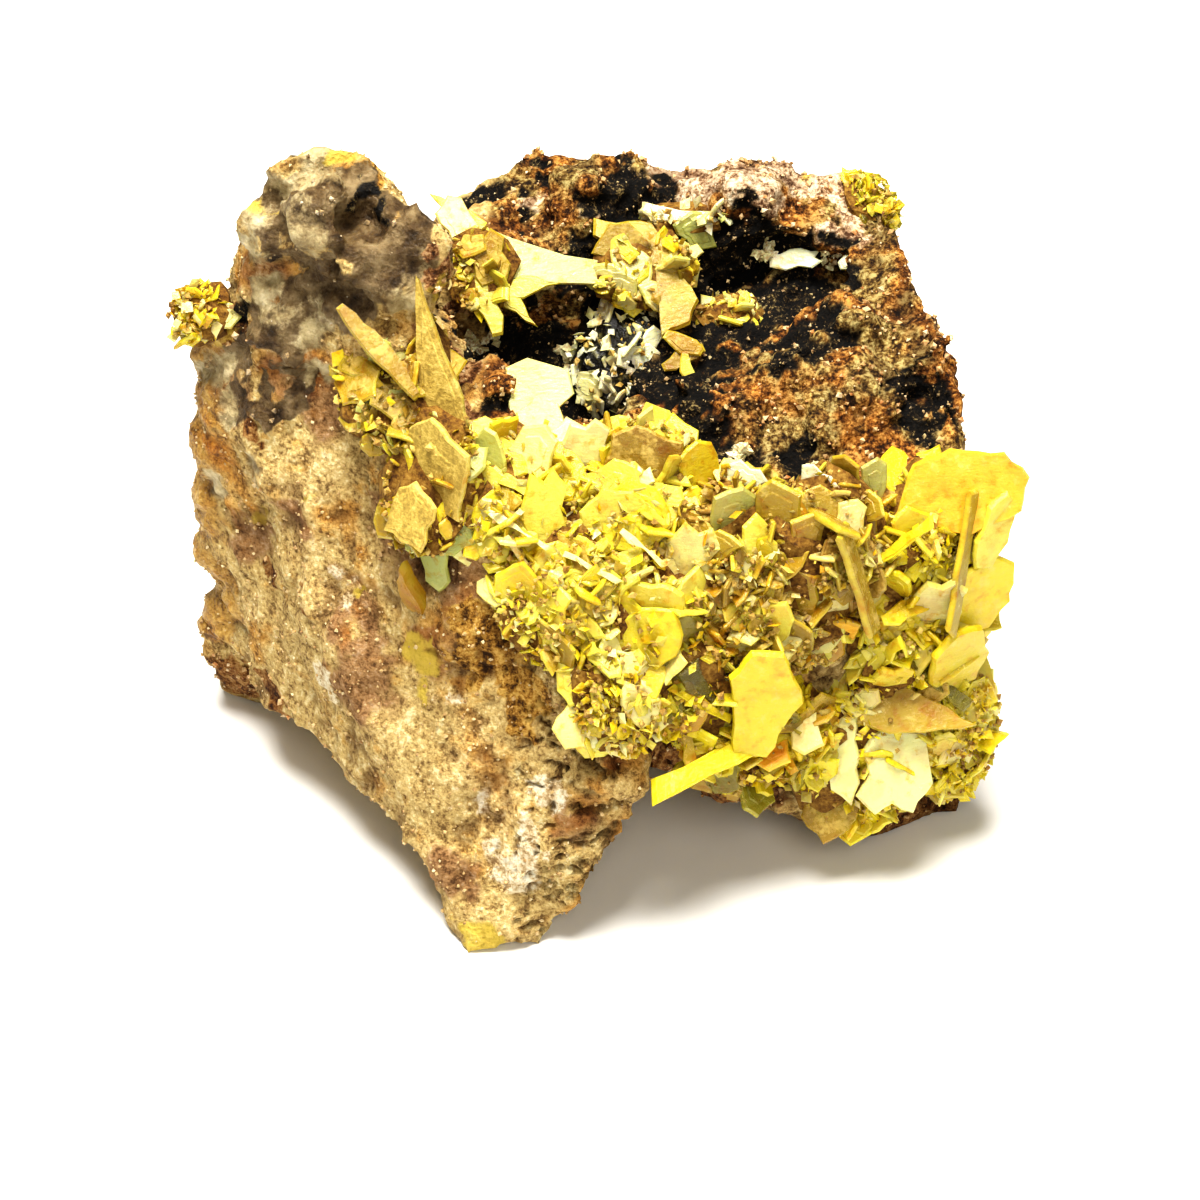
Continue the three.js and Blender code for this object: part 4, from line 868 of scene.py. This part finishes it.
def mineral_masks(relief):
    """How much of each mineral there is at each point, with ragged edges."""
    points, strayed = relief.points, relief.strayed
    ragged = 0.15 * relief.medium + 0.18 * relief.small
    masks = {}
    for name, patches in MINERALS.items():
        soft = 0.45 if name in ("mauve", "cream", "yellow", "quartz") else 0.2
        masks[name] = smooth(-soft, soft + 0.1, patch_field(strayed, patches) + ragged)

    high = smooth(-0.1, 0.3, 0.7 * relief.lumps + 0.4 * relief.knobs)
    stain = np.maximum(stain_field(strayed) * 3.0, patch_field(strayed, BLACK)) + ragged
    stain -= 0.55 * high * smooth(0.3, -0.1, patch_field(points, PIT_CORE))
    spared = masks["bare"] * (1 - smooth(0.2, 0.5, stain - 0.5 * high))
    masks["black"] = smooth(-0.1, 0.15, stain) * (1 - spared) * (1 - masks["copper"])

    top = smooth(28, 32, points[:, 2] + 3 * relief.broad) * smooth(-0.2, 0.4, points[:, 1] * 0.2 + 0.4)
    top *= smooth(-10, -6, points[:, 0])
    masks["bare"] = np.maximum(masks["bare"], top) * (1 - masks["pink"])
    return masks


def roughness(relief, masks):
    """How far each point is pushed out by its mineral's own texture, and how much painted shade it gets
    deep in pits and hollows.
    """
    points, lumps, knobs = relief.points, relief.lumps, relief.knobs
    names = ("quartz", "grey", "amber", "bare", "copper", "pink")
    lumpy = np.maximum.reduce([masks[name] for name in names])
    lumpy = np.maximum(lumpy, 0.7 * masks["black"])
    sandy = 1 - lumpy
    glassy = np.maximum(masks["quartz"], masks["grey"])
    rough = 1 - 0.75 * glassy
    pitted = points + np.column_stack([relief.medium, relief.small, relief.broad]) * 1.6
    pits = smooth(0.26, 0.08, cells(pitted, size=1.6, shift=40.1))
    pits *= smooth(0.1, 0.5, wander(points, size=6.0, shift=8.8))
    streaks = wander(points * [1.0, 1.0, 0.35], size=1.6, shift=50.3)
    ledges = np.abs(wander(points * [0.6, 0.6, 1.6], size=2.4, shift=61.9))
    broken = smooth(-8, -4, points[:, 0]) * smooth(21, 17, points[:, 2])

    push = 0.35 * relief.broad + rough * (0.22 * relief.medium + 0.14 * relief.small)
    push += lumpy * rough * (0.8 * lumps + 0.35 * knobs) + glassy * (1.5 * relief.chunks + 0.4 * lumps)
    push += 0.9 * smooth(-0.1, 0.9, patch_field(points, MINERALS["amber"]))
    push += masks["black"] * (0.4 * knobs + 0.3 * relief.small) + masks["ochre"] * 0.3 * knobs
    push += sandy * (0.15 * streaks + 0.25 * knobs - 0.3 * pits - 0.7 * broken * smooth(0.12, 0.0, ledges))
    push -= 0.25 * masks["black"]
    # painted shade: the second value darkens the rock's colour in its pits and where its surface is pushed
    # in
    return push, np.maximum(pits * sandy, smooth(0.1, -0.4, push)) * rough


def make_rock(material):
    obj, points, normals = fine_rock()
    relief = Relief(points)
    masks = mineral_masks(relief)
    push, pit_shade = roughness(relief, masks)
    moved = points + normals * (push * smooth(0.1, SOLE, points[:, 2]))[:, None]
    low = np.array(cad_low) / MM - SHIFT - [BOX_SLACK, BOX_SLACK, 0]
    high = np.array(cad_high) / MM - SHIFT + BOX_SLACK
    moved = np.clip(moved, low, high)
    obj.data.vertices.foreach_set("co", ((moved + SHIFT) * MM).ravel())
    obj.data.polygons.foreach_set("use_smooth", np.full(len(obj.data.polygons), True))
    obj.data.update()
    for name, mask in masks.items():
        add_value(obj.data, name, mask)
    add_value(obj.data, "pit_shade", pit_shade)
    obj.data.materials.clear()
    obj.data.materials.append(material)
    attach(obj, "root")
    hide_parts("rock")
    return moved, normals, masks


def make_grains(points, normals, masks, material):
    """Loose and half-buried grains all over the rock, of the minerals they lie on."""

    def lying_on(*names):
        return np.maximum.reduce([masks[name] for name in names])[picked] > 0.5

    def raised(chosen, heights):
        return points[chosen] + normals[chosen] * heights[:, None]

    lowest = 0.8  # no grains below this height, so that the feet stay flat
    glass_share = 0.2  # share of the grains on glassy minerals that stay
    rng = np.random.default_rng(7)
    picked = rng.choice(len(points), GRAIN_COUNT, replace=False)
    picked = picked[points[picked, 2] > lowest]
    lumpy = lying_on("bare", "copper", "pink", "rust")
    kinds = np.select([lying_on("black"), lying_on("quartz", "grey"), lumpy], [SOOT, GLASS, LUMPS], SAND)
    tints = GRAIN_TINTS[kinds, rng.integers(0, GRAIN_TINTS.shape[1], len(picked))]
    sizes = 0.08 + np.array([0.16, 0.26, 0.16, 0.26])[kinds] * rng.random(len(picked)) ** 2
    kept = (kinds != GLASS) | (rng.random(len(picked)) < glass_share)
    picked, sizes, tints = picked[kept], sizes[kept], tints[kept]
    shapes = Shapes()
    grains(shapes, raised(picked, sizes * 0.25), sizes, tints, 0.0, rng)

    druse = patch_field(points, DRUSE) + 0.5 * wander(points, size=1.2, shift=33.3)
    white = rng.choice(np.flatnonzero(druse > 0.45), DRUSE_COUNT)
    sizes = 0.12 + 0.45 * rng.random(DRUSE_COUNT) ** 2
    tints = DRUSE_TINTS[rng.integers(0, len(DRUSE_TINTS), DRUSE_COUNT)]
    grains(shapes, raised(white, sizes * 0.3), sizes, tints, 0.0, rng)
    piece = shapes.build("rock_grains", material)
    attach(piece, "root")


# ---- materials

SHADES = {  # each mineral's colours, dark to light, in the order they lie over the sand
    "ochre": [(0.07, 0.03, 0.006), (0.26, 0.13, 0.022), (0.46, 0.25, 0.05), (0.66, 0.44, 0.13)],
    "rust": [(0.05, 0.018, 0.005), (0.17, 0.068, 0.015), (0.28, 0.13, 0.035), (0.45, 0.27, 0.1)],
    "grey": [(0.025, 0.014, 0.005), (0.09, 0.054, 0.022), (0.17, 0.115, 0.052), (0.32, 0.24, 0.13)],
    "quartz": [(0.17, 0.12, 0.055), (0.33, 0.25, 0.125), (0.48, 0.39, 0.215), (0.7, 0.6, 0.38)],
    "white": [(0.4, 0.27, 0.13), (0.62, 0.47, 0.27), (0.78, 0.66, 0.44), (0.92, 0.86, 0.68)],
    "bare": [(0.02, 0.01, 0.004), (0.11, 0.06, 0.016), (0.25, 0.16, 0.045), (0.52, 0.42, 0.18)],
    "pink": [(0.1, 0.045, 0.02), (0.36, 0.22, 0.12), (0.6, 0.43, 0.27), (0.85, 0.72, 0.52)],
    "orange": [(0.06, 0.014, 0.003), (0.2, 0.062, 0.01), (0.36, 0.14, 0.025), (0.54, 0.28, 0.07)],
    "black": [(0.005, 0.004, 0.003), (0.018, 0.012, 0.006), (0.07, 0.045, 0.018), (0.3, 0.23, 0.1)],
    "copper": [(0.035, 0.013, 0.004), (0.14, 0.055, 0.018), (0.28, 0.13, 0.045), (0.6, 0.38, 0.19)],
}
SHADE_STOPS = (0.3, 0.42, 0.52, 0.68)  # where the four colours lie on the noise, and the same for black
SOOT_STOPS = (0.45, 0.58, 0.68, 0.76)
EDGE_WIDTHS = {"quartz": 0.35, "white": 0.35, "pink": 0.35, "black": 0.3}  # the soft edges; others are 0.15


class Nodes:
    """A material's node tree, with short calls for the nodes used here. Sizes are in millimetres."""

    def __init__(self, name):
        self.material = bpy.data.materials.new(name)
        self.material.use_nodes = True
        self.tree = self.material.node_tree
        self.shader = self.tree.nodes["Principled BSDF"]
        self.place = self.scaled(self.node("TexCoord").outputs["Object"], (1 / MM, 1 / MM, 1 / MM))

    def put(self, value, socket):
        if isinstance(value, bpy.types.NodeSocket):
            self.tree.links.new(value, socket)
        else:
            socket.default_value = value

    def node(self, kind, **inputs):
        node = self.tree.nodes.new("ShaderNode" + kind)
        self.set(node, **inputs)
        return node

    def set(self, node, **inputs):
        for name, value in inputs.items():
            self.put(value, node.inputs[name.replace("_", " ")])

    def scaled(self, place, scale):
        node = self.node("VectorMath")
        node.operation = "MULTIPLY"
        self.put(place, node.inputs[0])
        self.put(scale, node.inputs[1])
        return node.outputs[0]

    def noise(self, size, detail=4.0, stretch=None, roughness=0.6):
        place = self.scaled(self.place, stretch) if stretch else self.place
        node = self.node("TexNoise", Vector=place, Scale=1 / size, Detail=detail, Roughness=roughness)
        return node.outputs["Fac"]

    def cells(self, size):
        return self.node("TexVoronoi", Vector=self.place, Scale=1 / size).outputs["Distance"]

    def attribute(self, name, output="Fac"):
        node = self.node("Attribute")
        node.attribute_name = name
        return node.outputs[output]

    def math(self, operation, *values):
        node = self.node("Math")
        node.operation = operation
        for socket, value in zip(node.inputs, values):
            self.put(value, socket)
        return node.outputs[0]

    def varied(self, value, by, amount):
        """The value with that much of a noise added, above and below the noise's middle."""
        return self.math("MULTIPLY_ADD", self.math("SUBTRACT", by, 0.5), amount, value)

    def step(self, value, low, high):
        """0 below low, 1 above high, smooth between."""
        node = self.node("MapRange", Value=value, From_Min=low, From_Max=high)
        node.interpolation_type = "SMOOTHSTEP"
        return node.outputs[0]

    def between(self, share, low, high):
        return self.node("MapRange", Value=share, To_Min=low, To_Max=high).outputs[0]

    def mix(self, share, a, b, blend="MIX"):
        node = self.node("Mix")
        node.data_type = "RGBA"
        node.blend_type = blend
        self.put(share, node.inputs["Factor"])
        for name, value in (("A", a), ("B", b)):
            socket = next(s for s in node.inputs if s.name == name and s.type == "RGBA")
            self.put(value if isinstance(value, bpy.types.NodeSocket) else (*value, 1), socket)
        return next(s for s in node.outputs if s.type == "RGBA")

    def toned(self, colour, tone, share=1.0):
        """The colour, that share of it multiplied by a tone."""
        return self.mix(share, colour, self.mix(1.0, colour, tone, "MULTIPLY"))

    def ramp(self, value, stops):
        """A colour for each value, from stops of (value, colour)."""
        node = self.node("ValToRGB", Fac=value)
        elements = node.color_ramp.elements
        while len(elements) < len(stops):
            elements.new(0.5)
        for element, (place, colour) in zip(elements, stops):
            element.position = place
            element.color = (*colour, 1)
        return node.outputs["Color"]

    def bump(self, height, strength, distance):
        return self.node("Bump", Height=height, Strength=strength, Distance=distance * MM).outputs[0]

    def upward(self):
        """The height part of the surface's own direction: 1 where it looks up."""
        normal = self.node("NewGeometry").outputs["Normal"]
        return self.node("SeparateXYZ", Vector=normal).outputs["Z"]


def rock_material():
    m = Nodes("limonite")
    coarse = m.noise(2.2, 5)
    patchy = m.noise(6.0, 3)
    grain = m.noise(0.35, 6, roughness=0.7)
    speck = m.noise(0.16, 3)
    cloud = m.noise(1.0, 6, roughness=0.7)
    streak = m.noise(1.1, 5, stretch=(1, 1, 0.22))
    uneven = m.varied(m.varied(cloud, grain, 1.3), streak, 0.7)
    cloudy = m.varied(m.noise(2.0, 4), grain, 0.3)

    def edged(name, width):
        """A mineral's mask with its edge broken up finely."""
        return m.step(m.varied(m.attribute(name), grain, 1.1), 0.5 - width, 0.5 + width)

    def grained(*colours, value=uneven):
        """A mineral's own colours, dark to light, in the same grain."""
        return m.ramp(value, list(zip(SHADE_STOPS, colours)))

    sand = m.ramp(uneven, [
        (0.25, (0.2, 0.12, 0.045)), (0.4, (0.45, 0.31, 0.12)), (0.5, (0.59, 0.43, 0.18)),
        (0.6, (0.66, 0.5, 0.22)), (0.75, (0.82, 0.7, 0.4)),
    ])
    sand = m.toned(sand, (1.0, 0.78, 0.5), m.step(patchy, 0.52, 0.66))
    sand = m.toned(sand, (1.0, 0.85, 0.6), m.step(coarse, 0.55, 0.7))
    sand = m.toned(sand, (0.62, 0.5, 0.52), edged("mauve", 0.4))
    sand = m.toned(sand, (1.15, 1.15, 1.2), m.math("MULTIPLY", edged("cream", 0.4), 0.8))
    sand = m.toned(sand, (0.8, 0.66, 0.4), edged("amber", 0.4))
    bare = grained(*SHADES["bare"])
    bare = m.toned(bare, (1.2, 0.78, 0.5), m.step(patchy, 0.45, 0.58))
    bare = m.toned(bare, (1.25, 1.2, 1.1), m.step(coarse, 0.5, 0.62))
    soot = m.ramp(m.varied(uneven, speck, 0.8), list(zip(SOOT_STOPS, SHADES["black"])))
    colour = sand
    for name, shades in SHADES.items():
        value = cloudy if name in ("grey", "quartz") else uneven
        shade = {"bare": bare, "black": soot}.get(name) or grained(*shades, value=value)
        colour = m.mix(edged(name, EDGE_WIDTHS.get(name, 0.15)), colour, shade)
    colour = m.mix(m.math("MULTIPLY", edged("yellow", 0.35), 0.8), colour, (0.66, 0.5, 0.08))
    # painted shade: the colour is darkened in the pits and hollows of the rock
    dark = m.math("MULTIPLY", m.step(m.attribute("pit_shade"), 0.3, 1.0), 0.6)
    colour = m.mix(dark, colour, (0.2, 0.1, 0.035), "MULTIPLY")

    glassy = m.math("MAXIMUM", m.attribute("quartz"), m.attribute("amber"))
    glassy = m.math("MAXIMUM", glassy, m.attribute("grey"))
    shiny = m.math("MAXIMUM", glassy, m.attribute("copper"))
    height = m.math("MULTIPLY_ADD", cloud, 1.2, m.math("MULTIPLY_ADD", m.cells(0.3), 0.5, grain))
    height = m.math("MULTIPLY", height, m.between(glassy, 1.0, 0.7))
    m.set(
        m.shader,
        Base_Color=colour,
        Roughness=m.between(shiny, 0.88, 0.36),
        IOR=1.5,
        Specular_IOR_Level=0.35,
        Subsurface_Weight=m.math("MULTIPLY", glassy, 0.2),
        Subsurface_Radius=(1.0, 0.7, 0.4),
        Subsurface_Scale=0.8 * MM,
        Normal=m.bump(height, strength=0.9, distance=0.35),
    )
    return m.material


def crystal_material():
    m = Nodes("wulfenite")
    zones = m.noise(1.1, 5)
    grain = m.noise(0.28, 5, roughness=0.7)
    striae = m.noise(0.5, 4, stretch=(1, 1, 3))
    tint = m.attribute("tint", "Color")
    pale = m.mix(0.22, tint, (0.98, 0.9, 0.35))
    colour = m.mix(m.step(zones, 0.52, 0.7), tint, pale)
    deep = m.mix(1.0, tint, (0.9, 0.68, 0.36), "MULTIPLY")
    colour = m.mix(m.step(zones, 0.47, 0.3), colour, deep)
    veil = m.math("MULTIPLY", m.step(m.noise(3.2, 4), 0.48, 0.62), 0.6)
    colour = m.toned(colour, (0.86, 0.7, 0.7), veil)

    settled = m.math("MULTIPLY_ADD", m.upward(), 0.3, m.attribute("dust"))
    dust = m.step(m.varied(m.varied(settled, grain, 1.2), zones, 1.6), 0.5, 0.85)
    earth = m.ramp(m.varied(grain, zones, 0.8), [
        (0.3, (0.13, 0.06, 0.01)), (0.45, (0.34, 0.2, 0.04)),
        (0.55, (0.53, 0.36, 0.09)), (0.7, (0.72, 0.55, 0.2)),
    ])
    # painted shade: on the crust between the crystals the earth takes its dark tint and is darkened
    # further, for the shade in the gaps
    earth = m.mix(0.4, earth, tint)
    crust = m.step(m.attribute("clear"), 0.02, 0.0)
    earth = m.toned(earth, (0.68, 0.54, 0.3), crust)
    clean = m.math("SUBTRACT", 1.0, dust)
    relief = m.math("MULTIPLY_ADD", zones, 1.5, m.math("ADD", grain, striae))
    m.set(
        m.shader,
        Base_Color=m.mix(dust, colour, earth),
        Roughness=m.between(dust, 0.24, 0.9),
        IOR=1.7,
        Specular_IOR_Level=0.3,
        Transmission_Weight=m.math("MULTIPLY", m.attribute("clear"), clean),
        Subsurface_Weight=m.math("MULTIPLY", clean, 0.28),
        Subsurface_Radius=(1.0, 0.8, 0.15),
        Subsurface_Scale=0.7 * MM,
        Normal=m.bump(relief, strength=0.45, distance=0.16),
    )
    return m.material


def grain_material():
    m = Nodes("grains")
    dusted = m.step(m.noise(0.2, 3), 0.35, 0.65)
    colour = m.mix(dusted, m.attribute("tint", "Color"), (0.5, 0.36, 0.18))
    m.set(m.shader, Base_Color=colour, Roughness=0.6, IOR=1.5)
    return m.material


def floor_material():
    m = Nodes("floor")
    m.set(m.shader, Base_Color=(0.9, 0.9, 0.89, 1), Roughness=0.85)
    return m.material


# ---- the studio, in metres

ROCK_MIDDLE = (0, 0, 0.02)
LIGHTS = {  # place, diameter and power of round lights that all shine at the rock's middle
    "key": [(-0.03, -0.02, 0.4), 0.2, 3.2],
    "front": [(0.08, -0.3, 0.28), 0.24, 0.6],
}


def aim(name, data, place, target):
    """A light or a camera at that place, turned towards the target."""
    obj = place_object(name, data)
    obj.location = place
    obj.rotation_euler = (Vector(target) - Vector(place)).to_track_quat("-Z", "Y").to_euler()
    return obj


def make_studio():
    mesh = bpy.data.meshes.new("floor")
    half = 2.0
    corners = [(-half, -half, 0), (half, -half, 0), (half, half, 0), (-half, half, 0)]
    mesh.from_pydata(corners, [], [(0, 1, 2, 3)])
    mesh.materials.append(floor_material())
    floor = place_object("floor", mesh)

    world = bpy.data.worlds.new("studio")
    world.use_nodes = True
    background = world.node_tree.nodes["Background"]
    background.inputs["Color"].default_value = (1, 0.9, 0.72, 1)
    background.inputs["Strength"].default_value = 0.16
    bpy.context.scene.world = world
    for name, (place, size, power) in LIGHTS.items():
        light = bpy.data.lights.new(name, "AREA")
        light.shape = "DISK"
        light.size = size
        light.energy = power
        light.color = (1, 0.98, 0.94)
        aim(name, light, place, ROCK_MIDDLE)
    view = bpy.context.scene.view_settings
    view.view_transform = "Standard"
    view.look = "High Contrast"
    view.exposure = -0.3


def make_camera():
    """A camera 200 mm away, 40 degrees above the level of the rock's middle."""
    distance, height = 0.2, math.radians(40)
    data = bpy.data.cameras.new("camera")
    data.lens = 85
    data.sensor_width = 36
    data.clip_start, data.clip_end = 0.01, 10
    target = Vector(ROCK_MIDDLE) + Vector(SHIFT * MM)
    place = target + Vector((0, -math.cos(height), math.sin(height))) * distance
    bpy.context.scene.camera = aim("camera", data, place, target)


make_grains(*make_rock(rock_material()), grain_material())
wulfenite = crystal_material()
for number, cluster_name in enumerate(CLUSTERS, start=1):
    make_cluster(cluster_name, number, wulfenite)
make_studio()
make_camera()
